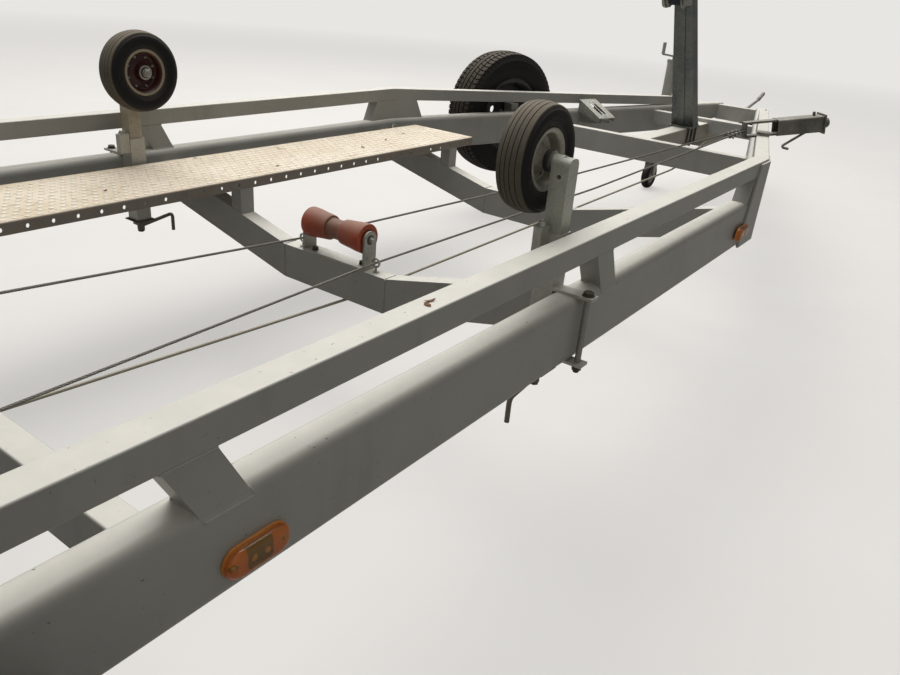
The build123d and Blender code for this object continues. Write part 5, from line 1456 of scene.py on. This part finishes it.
@dataclass
class PullWires:
    """Two taut stranded wires with their grips."""

    strand_count: int = 6
    radius: float = 0.0043
    lay: float = 0.055
    sag: float = 0.018
    starts: tuple[Triple, ...] = ((-1.42, 0.119, 0.589), (-1.42, -0.178, 0.425))
    eye: Triple = (-0.06, 0.175, 0.47)
    tube_rear: Triple = (2.206, -0.8093, 0.819)
    tube_front: Triple = (2.345, -0.9837, 0.855)
    yoke_reach: float = 0.16
    spread: float = 0.014
    rear_grips: tuple[float, ...] = (0.045, 0.075)
    yoke_grips: tuple[float, ...] = (0.055, 0.085, 0.115)
    bow: float = 0.0065         # half width of a grip's bent bolt

    def ends(self) -> list[tuple[Points, Points, Points]]:
        """Rear end, eye and yoke end of each wire."""
        rear, front = np.array(self.tube_rear), np.array(self.tube_front)
        along = unit(front - rear)
        across = unit(np.cross(ALONG.third, along))
        face = rear - along * (self.yoke_reach - 0.006)
        x, y, z = self.eye
        return [(np.array(start), np.array([x, side * y, z]), face + across * side * self.spread)
                for start, side in zip(self.starts, (1, -1))]

    def build(self, finishes: Finishes) -> None:
        """Make the wires and their grips."""
        wires, grips = Skin(), Skin()
        for start, eye, end in self.ends():
            low = (eye + end) / 2 - np.array([0, 0, self.sag])
            path = softened(sampled([start, eye, low, end], 0.005), 13)
            wires.shell(self.rope(path))
            self.grip_row(grips, path[::-1], self.yoke_grips)
            self.grip_row(grips, path, self.rear_grips)
        wires.piece("stranded_wires", FRAME, "wire_rope", [finishes.wire], ["pull_wires"])
        grips.piece("wire_grips", FRAME, "galvanised", [finishes.bolt, finishes.wire])
        dress(finishes.zinc, "eye_bolts")
        dress(finishes.tube_dark, "wire_tensioner")
        dress(finishes.rod, "brake_rod")

    def rope(self, path: Points) -> Points:
        """A ring with one lobe for each strand, carried along the path and turned once each lay."""
        turn = np.arange(self.strand_count * 4) * 2 * pi / (self.strand_count * 4)
        out = self.radius * (0.86 + 0.14 * np.cos(turn * self.strand_count))
        profile = np.column_stack([out * np.cos(turn), out * np.sin(turn)])
        run = np.concatenate([[0], np.cumsum(np.linalg.norm(np.diff(path, axis=0), axis=1))])
        return carried(profile, path, twist=run / self.lay * 2 * pi)

    def grip_row(self, skin: Skin, path: Points, places: Sequence[float]) -> None:
        """Wire grips: at each place a saddle, a bent bolt round the wire and two nuts.

        Args:
            skin: the piece that they join.
            path: the wire's route.
            places: distances from the path's start.
        """
        step = np.linalg.norm(path[1] - path[0])
        turn = np.linspace(0, pi, 9)
        bend = np.column_stack([0 * turn, self.bow * np.cos(turn), self.bow * np.sin(turn)])
        legs = np.concatenate([[[0, self.bow, -0.016]], bend, [[0, -self.bow, -0.016]]])
        for distance in places:
            here = path[round(distance / step)]
            along = unit(path[round(distance / step) + 1] - here)
            place = Place.aimed(here, along)
            skin.shell(slab(soft_box(0.021, 0.009, 0.003) + [0, -0.007], -0.006, 0.006, 0.001, place))
            skin.shell(carried(ring(0.0022, 8), place.put(legs), along))
            for b in (self.bow, -self.bow):
                seat = Place.aimed(place.put([0, b, -0.0115]), -place.third, place.first)
                bolt(skin, seat, 0.0075, 0.004, washer=0.6)
        tail = path[: round((max(places) + 0.03) / step)] + [0, 0, -0.0075]
        skin.shell(self.rope(tail), 1)


@dataclass
class Lamps:
    """Side markers with an amber lens over two lights, and red tail lamps."""

    markers: tuple[Triple, ...] = (     # along, height, distance off the beam
        (-1.306, 0.53, 0.0),
        (1.149, 0.541, 0.008),
        (-4.24, 0.53, 0.0),
    )
    long: float = 0.13
    high: float = 0.058
    lens: tuple[Pair, ...] = (               # out of the base, in from the outline
        (0.0055, 0.0), (0.011, 0.001), (0.0125, 0.0035), (0.015, 0.0045), (0.0175, 0.0065),
        (0.0192, 0.01), (0.02, 0.016), (0.02, 0.025),
    )
    hollow: tuple[Pair, ...] = (
        (0.018, 0.025), (0.0178, 0.017), (0.015, 0.0095), (0.0115, 0.006), (0.0055, 0.0045),
    )
    light_apart: float = 0.013
    screw_apart: float = 0.047
    tail: Triple = (-5.12, 0.84, 0.56)
    tray: Pair = (0.23, 0.11)

    def build(self, finishes: Finishes) -> None:
        """Make the lamps."""
        markers, tails = Skin(), Skin()
        for x, z, lift in self.markers:
            for side in SIDES:
                self.marker(markers, Place.aimed((x, side * (FRAME_HALF + lift), z), (0, side, 0)))
        kinds = [finishes.amber, finishes.marker_base, finishes.board, finishes.lamp_white, finishes.bolt]
        markers.piece("marker_lamps", FRAME, "amber_lens", kinds, ["marker_lights"])
        x, y, z = self.tail
        for side in SIDES:
            self.tail_lamp(tails, Place.aimed((x, side * y, z), (-1, 0, 0)))
        tails.piece("tail_lamps", FRAME, "red_lens", [finishes.red, finishes.plastic, finishes.lamp_white],
                    ["tail_lights"])

    def oval(self, inset: float = 0.0) -> Points:
        """A marker's outline, a bar with round ends, drawn in by an inset."""
        turn = np.linspace(-pi / 2, pi / 2, 12)
        end = (self.high / 2 - inset) * np.column_stack([np.cos(turn), np.sin(turn)])
        shift = [(self.long - self.high) / 2, 0]
        return np.concatenate([end + shift, -end - shift])

    def rings(self, steps: Sequence[Pair]) -> Points:
        """The marker's outline at each step, as local points."""
        outline = [self.oval(inset) for _, inset in steps]
        return np.stack([np.column_stack([np.full(len(line), step[0]), line]) for step, line in zip(steps, outline)])

    def marker(self, skin: Skin, place: Place) -> None:
        """One marker: base, hollow lens with a stepped rim, board, two lights and screws."""
        skin.shell(slab(self.oval(), 0.0, 0.006, 0.0015, place), 1)
        skin.shell(place.put(self.rings(self.lens)), 0)
        skin.shell(place.put(self.rings(self.hollow)), 0)
        skin.shell(slab(soft_box(0.05, 0.034, 0.006), 0.0055, 0.0085, 0.0008, place), 2)
        rise = np.linspace(0, pi / 2, 5)
        dome = [(0.008, 0.0), *zip(0.0085 + 0.0045 * np.sin(rise), 0.006 * np.cos(rise))]
        for side in SIDES:
            skin.turn(place.moved(0.0, side * self.light_apart, -0.001), dome, 18, 3, solid=True)
            seat = place.moved(0.0055, side * self.screw_apart)
            bolt(skin, seat, 0.008, 0.003, Head.ROUND, washer=0.6, finish=4)

    def tail_lamp(self, skin: Skin, place: Place) -> None:
        """One tail lamp: a black tray with three ribbed lens fields in it."""
        skin.shell(slab(soft_box(*self.tray, 0.014), 0.0, 0.014, 0.002, place), 1)
        across = np.linspace(-0.5, 0.5, 25)
        ribs = 0.0186 + 0.0012 * np.abs(np.sin(across * 8 * pi))
        for middle, wide, finish in ((-0.072, 0.068, 0), (0.002, 0.072, 0), (0.075, 0.064, 2)):
            front = np.stack([np.column_stack([ribs, middle + across * wide, np.full(25, height)])
                              for height in np.linspace(-0.045, 0.045, 7)])
            rim = np.concatenate([front[0], front[1:-1, -1], front[-1][::-1], front[1:-1, 0][::-1]])
            foot = rim * [0, 1, 1] + [0.012, 0, 0]
            skin.shell(place.put(front), finish, caps=False, wrap_cols=False)
            skin.shell(place.put(np.stack([foot, rim])), finish, caps=False)


@dataclass
class Chock:
    """A folded wheel chock, its long slots in the sloping top, hung on a holder inside the left beam."""

    rear: float = 2.765
    width: float = 0.155
    run: float = 0.19
    high: float = 0.717
    tip: float = 0.627
    sheet: float = 0.0025
    slot_pitch: float = 0.034
    slot_half: float = 0.0132
    teeth: int = 6
    tooth_pitch: float = 0.0254
    ridges: tuple[float, ...] = (0.016, 0.036)
    arms: tuple[float, ...] = (0.034, 0.112)
    holder_bolts: tuple[float, ...] = (0.052, 0.1)

    def build(self, finishes: Finishes) -> None:
        """Make the chock: a pierced top, ridged sides, a toothed edge, and the holder with its clip."""
        base = Place(np.array([self.rear, side_y(self.rear, BEAM_W), 0.0]), NOSE_ALONG, -NOSE_OUT, ALONG.third)
        skin = Skin()
        self.top(skin, base)
        self.sides(skin, base)
        tooth = np.array([(-0.006, -0.006), (0.006, -0.006), (0.003, 0.006), (-0.003, 0.006)])
        for number in range(self.teeth):
            spot = base.put([0.014 + number * self.tooth_pitch, 0.004, self.high - 0.004])
            skin.shell(slab(tooth, -0.0012, 0.0012, 0.0003, Place(spot, base.second, base.first, base.third)))
        self.holder(skin, base)
        skin.piece("folded_chock", FRAME, "galvanised", [finishes.zinc, finishes.bolt], ["wheel_chock"])

    def top(self, skin: Skin, base: Place) -> None:
        """The sloping top: two slots side by side, plain strips round them and a rolled lower edge."""
        fall = np.array([0.0, self.run, self.tip - self.high])
        slope = float(np.linalg.norm(fall))
        down = (base.put(fall) - base.origin) / slope
        normal = np.cross(down, base.first)
        middle = base.put([self.width / 2, 0.001 + self.run / 2, (self.high + self.tip) / 2])
        face = Place(middle, down, base.first, normal)
        flat = Place(middle, normal, down, base.first)
        pierced_long = slope * 0.84
        cells = pierced(2, self.slot_pitch, pierced_long, (self.slot_half, slope * 0.34), 32)[..., ::-1]
        skin.shell(face.put(thick(cells, -self.sheet)), wrap_rows=True)
        square = box_outline((-0.5, -0.5), (0.5, 0.5))
        beside = self.width / 2 - self.slot_pitch
        for side in SIDES:
            strip = square * [pierced_long, beside] + [0, side * (self.slot_pitch + beside / 2)]
            skin.shell(slab(strip, -self.sheet, 0.0, 0.0005, flat))
            strip = square * [slope * 0.08, self.width] + [side * slope * 0.46, 0]
            skin.shell(slab(strip, -self.sheet, 0.0, 0.0005, flat))
        edge, half = slope / 2 - 0.008, self.width / 2 - 0.0035
        roll = face.put(np.array([[edge, -half, -0.004], [edge, half, -0.004]]))
        skin.shell(carried(ring(0.0048, 16), sampled(roll, 0.01)))

    def sides(self, skin: Skin, base: Place) -> None:
        """Both upright sides as thin slabs, each with two pressed ridges that follow the slope."""
        outline = np.array([
            (0.001, self.high - 0.003), (self.run - 0.001, self.tip - 0.003), (self.run - 0.001, 0.601),
            (0.12, 0.612), (0.06, 0.628), (0.001, 0.641),
        ])
        for near, face_at in ((0.0005, 0.0013), (self.width - 0.003, self.width - 0.0013)):
            skin.shell(slab(outline, near, near + self.sheet, 0.0004, base))
            for drop in self.ridges:
                line = np.array([[face_at, 0.014, self.high - drop - 0.006],
                                 [face_at, 0.12, self.high - drop - 0.056]])
                skin.shell(carried(ring(0.0024, 8), sampled(base.put(line), 0.008), base.first))

    def holder(self, skin: Skin, base: Place) -> None:
        """The holder on the beam: a back plate, two arms under the chock and a spring clip over its low end."""
        plate = Place(base.origin, base.second, base.first, base.third)
        skin.shell(slab(box_outline((0.02, 0.56), (0.135, 0.646)), 0.0, 0.006, 0.001, plate))
        arm = np.array([(0.004, 0.568), (0.18, 0.592), (0.186, 0.6), (0.182, 0.603), (0.12, 0.606), (0.004, 0.632)])
        for near in self.arms:
            skin.shell(slab(arm, near, near + 0.004, 0.0006, base))
        middle = self.width / 2 + 0.0005
        clip = base.put(np.array([[middle, 0.15, 0.598], [middle, 0.184, 0.604], [middle, 0.1885, 0.622],
                                  [middle, 0.18, 0.636], [middle, 0.166, 0.642]]))
        skin.shell(carried(ring(0.0024, 8), softened(sampled(clip, 0.004), 5), base.first), 1)
        for along in self.holder_bolts:
            bolt(skin, plate.moved(0.006, along, 0.578), 0.013, 0.006, washer=1.0, finish=1)


@dataclass
class WinchPost:
    """The leaning mast with its winch, strap and bow stop."""

    foot: Triple = (3.235, 0.0, 0.605)
    lean: float = radians(28.9)
    drum: Triple = (2.6815, 0.0, 1.3618)
    drum_half: float = 0.044
    flange_r: float = 0.052
    barrel_r: float = 0.026
    layer: float = 0.0016       # thickness of one turn of strap
    shaft_ends: tuple[tuple[int, float], ...] = ((-1, 0.055), (1, 0.073))
    cover_screws: tuple[float, ...] = (0.9, 2.2, 4.1, 5.3)
    screw_circle: float = 0.047
    stop_up: float = 1.075

    def build(self, finishes: Finishes) -> None:
        """Dress the mast and make the wound strap."""
        dress(finishes.mast_zinc, "winch_mast")
        dress(finishes.dark_bolt, "mast_clamps")
        dress(finishes.zinc, "winch_frame")
        dress(finishes.plain_rubber, "bow_stop")
        self.strap_drum(finishes)
        self.small_parts(finishes)

    def strap_drum(self, finishes: Finishes) -> None:
        """The drum: flanges and a barrel, with the strap wound on it as layered turns."""
        skin = Skin()
        place = Place.aimed(self.drum, (0, 1, 0))
        half, flange, barrel = self.drum_half, self.flange_r, self.barrel_r
        right = np.array([(half - 0.006, barrel), (half - 0.005, flange - 0.002), (half - 0.004, flange),
                          (half - 0.001, flange), (half, flange - 0.002), (half, 0.0092)])
        skin.turn(place, np.concatenate([right[::-1] * [-1, 1], right]), 56)
        layers = np.arange(8)
        edge = half - 0.009 + 0.0012 * np.array([0, 1, 0.3, 0.8, 0.1, 1, 0.4, 0.6])
        low = np.column_stack([edge, barrel - 0.0005 + layers * self.layer])
        high = np.column_stack([edge - 0.001, barrel + 0.0008 + layers * self.layer])
        turns = np.concatenate([low, high])
        skin.turn(place, mirrored(turns[np.argsort(turns[:, 1], kind="stable")]), 56, 1)
        skin.piece("strap_drum", "winch_drum", "galvanised", [finishes.zinc, finishes.webbing], ["winch_drum"])

    def small_parts(self, finishes: Finishes) -> None:
        """Shaft nuts, cover screws, cheek bolts, the pawl lever and the bow stop's bolts."""
        skin = Skin()
        up = np.array([-sin(self.lean), 0.0, cos(self.lean)])
        front = np.array([cos(self.lean), 0.0, sin(self.lean)])
        left = ALONG.second
        drum = np.array(self.drum)
        for side, reach in self.shaft_ends:
            bolt(skin, Place.aimed(drum + left * side * reach, left * side), 0.019, 0.009, end=0.006)
        cover = drum + left * self.shaft_ends[1][1]
        for angle in self.cover_screws:
            spot = cover + self.screw_circle * (cos(angle) * up + sin(angle) * front)
            bolt(skin, Place.aimed(spot, left), 0.009, 0.004, Head.ROUND, washer=0.6)
        for lift in (-0.06, 0.06):
            for side in SIDES:
                spot = drum + up * lift + front * 0.074 + left * side * 0.03
                bolt(skin, Place.aimed(spot, -front, left), 0.015, 0.008, washer=0.65)
        pawl = [drum + up * 0.03 - left * 0.058, drum + up * 0.06 - front * 0.02 - left * 0.06,
                drum + up * 0.09 - front * 0.02 - left * 0.072]
        skin.shell(carried(soft_box(0.014, 0.005, 0.002), softened(sampled(pawl, 0.005), 5), left))
        stop = np.array(self.foot) + up * (self.stop_up + 0.03) - front * 0.06
        for side in SIDES:
            bolt(skin, Place.aimed(stop + left * side * 0.045, up, left), 0.017, 0.009, washer=0.7)
        skin.piece("winch_fittings", FRAME, "galvanised", [finishes.bolt])


@dataclass
class Running:
    """Axles, coupling, jockey wheel and the rest that keeps its solids."""

    jockey: Triple = (3.835, 0.4033, 0.1)
    jockey_half: float = 0.029
    leg_x: float = 3.88
    clamp_levels: tuple[float, ...] = (0.52, 0.6)
    housing_bolts: tuple[float, ...] = (4.43, 4.5)
    head_bolts: tuple[float, ...] = (0.474, 0.506)
    lever_pin: Triple = (4.513, 0.0265, 0.586)
    seat_y: float = 0.975
    seat_half: float = 0.062
    spare_plate: Pair = (0.952, 0.56)       # ahead of the bend, height
    plate_bolts: float = 0.044

    def build(self, finishes: Finishes) -> None:
        """Dress the nodes and make the small pieces."""
        dress(finishes.zinc, "roller_brackets", "torsion_axles", "jockey_tube", "jockey_leg", "jockey_fork")
        dress(finishes.sleeve_zinc, "post_sleeves")
        dress(finishes.crank, "height_cranks")
        dress(finishes.coupling, "overrun_coupling")
        dress(finishes.plain_rubber, "drawtube_gaiter")
        dress(finishes.lever, "handbrake_lever")
        self.jockey_tyre(finishes)
        bolts, nuts = Skin(), Skin()
        self.axle_bolts(bolts)
        self.coupling_bolts(bolts)
        self.jockey_bolts(bolts)
        self.spare_bolts(bolts)
        bolts.piece("frame_bolts", FRAME, "galvanised", [finishes.bolt])
        x, y, z = self.jockey
        for end in SIDES:
            bolt(nuts, Place.aimed((x, y + end * 0.048, z), (0, end, 0)), 0.018, 0.006)
        nuts.piece("fork_nuts", "jockey_fork", "galvanised", [finishes.bolt])

    def jockey_tyre(self, finishes: Finishes) -> None:
        """The jockey wheel: a solid ribbed tyre on a pressed steel disc."""
        skin = Skin()
        place = Place.aimed(self.jockey, (0, 1, 0))
        half = self.jockey_half / MM
        tyre = MM * np.array([
            (half - 13, 56), (half - 6, 60), (half - 2, 68), (half - 1, 80), (half - 4, 90), (half - 12, 97),
            (10.5, 99.2), (9.5, 97.2), (7.5, 97.2), (6.5, 99.7), (0, 100),
        ])
        section = np.concatenate([tyre, (tyre[:-1] * [-1, 1])[::-1]])
        skin.turn(place, section, 72, wear=(section[:, 1] > 0.099).astype(float))
        disc = MM * np.array([
            (half - 1, 8.2), (half - 1, 18), (half - 4, 20), (6, 24), (3, 34), (4, 48), (half - 12, 54),
            (half - 7.5, 60), (half - 10, 61), (half - 15, 57.5),
        ])
        skin.turn(place, mirrored(disc), 56, 1)
        skin.piece("jockey_tyre", "jockey_wheel", "rubber_black", [finishes.tread_rubber, finishes.wheel_grey],
                   ["jockey_wheel"])

    def axle_bolts(self, skin: Skin) -> None:
        """Bolts under the axle seats and nuts on the trailing arms."""
        for wheel_x in WHEELS_X:
            x = wheel_x + AXLE_AHEAD
            for side in SIDES:
                for ahead in (-self.seat_half, self.seat_half):
                    seat = DOWN.at(x + ahead, side * self.seat_y, 0.4625)
                    bolt(skin, seat, 0.022, 0.012, washer=0.65, end=0.01)
                bolt(skin, Place.aimed((x, side * 1.033, 0.422), (0, side, 0)), 0.03, 0.012, washer=0.7)

    def coupling_bolts(self, skin: Skin) -> None:
        """Bolts of the overrun housing, the ball head and the handbrake lever."""
        x, y, z = self.lever_pin
        for side in SIDES:
            for along in self.housing_bolts:
                bolt(skin, Place.aimed((along, side * 0.0625, 0.5), (0, side, 0)), 0.022, 0.011)
            for level in self.head_bolts:
                bolt(skin, Place.aimed((4.838, side * 0.0372, level), (0, side, 0)), 0.017, 0.009, washer=0.65)
            bolt(skin, Place.aimed((x, side * y, z), (0, side, 0)), 0.018, 0.008, washer=0.65)

    def jockey_bolts(self, skin: Skin) -> None:
        """Bolts through the clamps of the jockey wheel's outer tube."""
        for level in self.clamp_levels:
            for end in SIDES:
                spot = np.array([self.leg_x, self.jockey[1], level]) + NOSE_ALONG * end * 0.045 - NOSE_OUT * 0.028
                bolt(skin, Place.aimed(spot, NOSE_ALONG * end), 0.017, 0.009)

    def spare_bolts(self, skin: Skin) -> None:
        """Four bolts in the plate of the spare wheel's bracket."""
        ahead, level = self.spare_plate
        x = BEND_X + ahead
        for along in SIDES:
            for lift in SIDES:
                spot = (np.array([x, side_y(x), level + lift * self.plate_bolts])
                        + NOSE_ALONG * along * self.plate_bolts + NOSE_OUT * 0.01)
                bolt(skin, Place.aimed(spot, NOSE_OUT), 0.019, 0.01)


@dataclass
class Studio:
    """A plain pale floor, soft lights and the photograph's camera."""

    camera_at: Triple = (-1.916, -1.762, 1.356)
    yaw: float = radians(34.16)
    pitch: float = radians(25.16)
    roll: float = radians(-5.05)
    focal: float = 30.4
    floor_reach: float = 60.0
    fades: Pair = (6.0, 18.0)    # distances between which shadows fade out of the floor
    backdrop: Colour = (232, 230, 227)
    around: Colour = (236, 234, 230)
    around_strength: float = 0.24
    panels: tuple[tuple[str, Triple, float, float], ...] = (    # name, place, size, power
        ("key", (6.5, 5.0, 7.5), 9.0, 520.0),
        ("overhead", (2.0, 2.5, 9.0), 10.0, 960.0),
        ("fill", (-5.0, -8.0, 4.5), 8.0, 60.0),
    )
    lit_point: Triple = (0.5, 0.0, 0.5)

    def build(self) -> None:
        """Set the stage."""
        self.floor()
        self.lights()
        self.world()
        self.camera()
        bpy.context.scene.view_settings.view_transform = "Standard"

    def floor(self) -> None:
        """A wide pale floor that keeps the trailer's shadow and throws little light back up."""
        mesh = bpy.data.meshes.new("floor")
        reach = self.floor_reach
        mesh.from_pydata([(-reach, -reach, 0), (reach, -reach, 0), (reach, reach, 0), (-reach, reach, 0)], [],
                         [(0, 1, 2, 3)])
        recipe = Recipe("pale_floor")
        seen = recipe.node("ShaderNodeLightPath", out="Is Camera Ray")
        clouds = recipe.noise(1.1, 5, 0.6).between(0.3, 0.7)
        pale = recipe.mix(clouds, (214, 210, 204), (222, 219, 213))
        shade = recipe.mix(seen, (158, 156, 152), pale)
        ground = recipe.node("ShaderNodeBsdfPrincipled", None, {"Base Color": shade, "Roughness": 0.8})
        glow = recipe.node("ShaderNodeEmission", None, {"Color": linear(*self.backdrop), "Strength": 1.0})
        away = recipe.node("ShaderNodeVectorMath", {"operation": "LENGTH"}, {0: recipe.here}, "Value")
        share = seen * (0.6 + 0.4 * away.between(*self.fades))
        mesh.materials.append(recipe.close(recipe.node("ShaderNodeMixShader", None, {0: share, 1: ground, 2: glow})))
        placed("floor", mesh)

    def lights(self) -> None:
        """Large soft panels: two high up beyond the trailer and a weak fill beside the camera."""
        for name, spot, size, power in self.panels:
            panel = bpy.data.lights.new(name, "AREA")
            panel.size = size
            panel.energy = power
            lamp = placed(name, panel)
            lamp.location = spot
            aim = Vector(self.lit_point) - Vector(spot)
            lamp.rotation_euler = aim.to_track_quat("-Z", "Y").to_euler()

    def world(self) -> None:
        """Even pale light, shown brighter to the camera and through lenses than it shines on the trailer."""
        recipe = Recipe("studio", world=True)
        camera = recipe.node("ShaderNodeLightPath", out="Is Camera Ray")
        through = recipe.node("ShaderNodeLightPath", out="Is Transmission Ray")
        seen = camera.sum("MAXIMUM", camera, through)
        shone = {"Color": linear(*self.around), "Strength": self.around_strength}
        shown = {"Color": linear(*self.backdrop), "Strength": 1.0}
        backs = [recipe.node("ShaderNodeBackground", None, sockets) for sockets in (shone, shown)]
        mixed = recipe.node("ShaderNodeMixShader", None, {0: seen, 1: backs[0], 2: backs[1]})
        bpy.context.scene.world = recipe.close(mixed)

    def camera(self) -> None:
        """The camera, worked out from its yaw, pitch and roll."""
        forward = Vector((cos(self.yaw) * cos(self.pitch), sin(self.yaw) * cos(self.pitch), -sin(self.pitch)))
        right = Vector((sin(self.yaw), -cos(self.yaw), 0.0))
        down = forward.cross(right)
        across = cos(self.roll) * right + sin(self.roll) * down
        below = -sin(self.roll) * right + cos(self.roll) * down
        lens = bpy.data.cameras.new("view")
        lens.lens = self.focal
        lens.sensor_width = 36.0
        lens.clip_end = 200.0
        camera = placed("view", lens)
        turn = Matrix((across, -below, -forward)).transposed().to_4x4()
        camera.matrix_world = Matrix.Translation(self.camera_at) @ turn
        bpy.context.scene.camera = camera


def main() -> None:
    """Build the trailer's looks in order."""
    logging.basicConfig(level=logging.INFO, format="%(message)s")
    finishes = Finishes()
    Studio().build()
    SideFrames().build(finishes)
    Walkway().build(finishes)
    fasteners = Skin()
    stations = (
        SupportStation("front_left", -0.24, 1, 0.72, True),
        SupportStation("front_right", -0.215, -1, 0.795, False),
        SupportStation("rear_left", -3.79, 1, 0.72, False),
        SupportStation("rear_right", -3.79, -1, 0.795, False),
    )
    for station in stations:
        station.build(finishes)
        station.fasten(fasteners)
    for name, rear in zip(("rear", "middle", "front"), DROPPED_REARS):
        roller = KeelRoller(name, rear + MEMBER / 2)
        roller.build(finishes)
        roller.fasten(fasteners)
    fasteners.piece("station_bolts", FRAME, "galvanised", [finishes.bolt, finishes.dark_bolt])
    wheel = RoadWheel()
    for row, x in zip(("front", "rear"), WHEELS_X):
        for word, side in (("left", 1), ("right", -1)):
            wheel.on_axle(row, word, x, side, finishes)
    wheel.spare(finishes)
    Mudguards().build(finishes)
    PullWires().build(finishes)
    Lamps().build(finishes)
    Chock().build(finishes)
    WinchPost().build(finishes)
    Running().build(finishes)


if __name__ == "__main__":
    main()
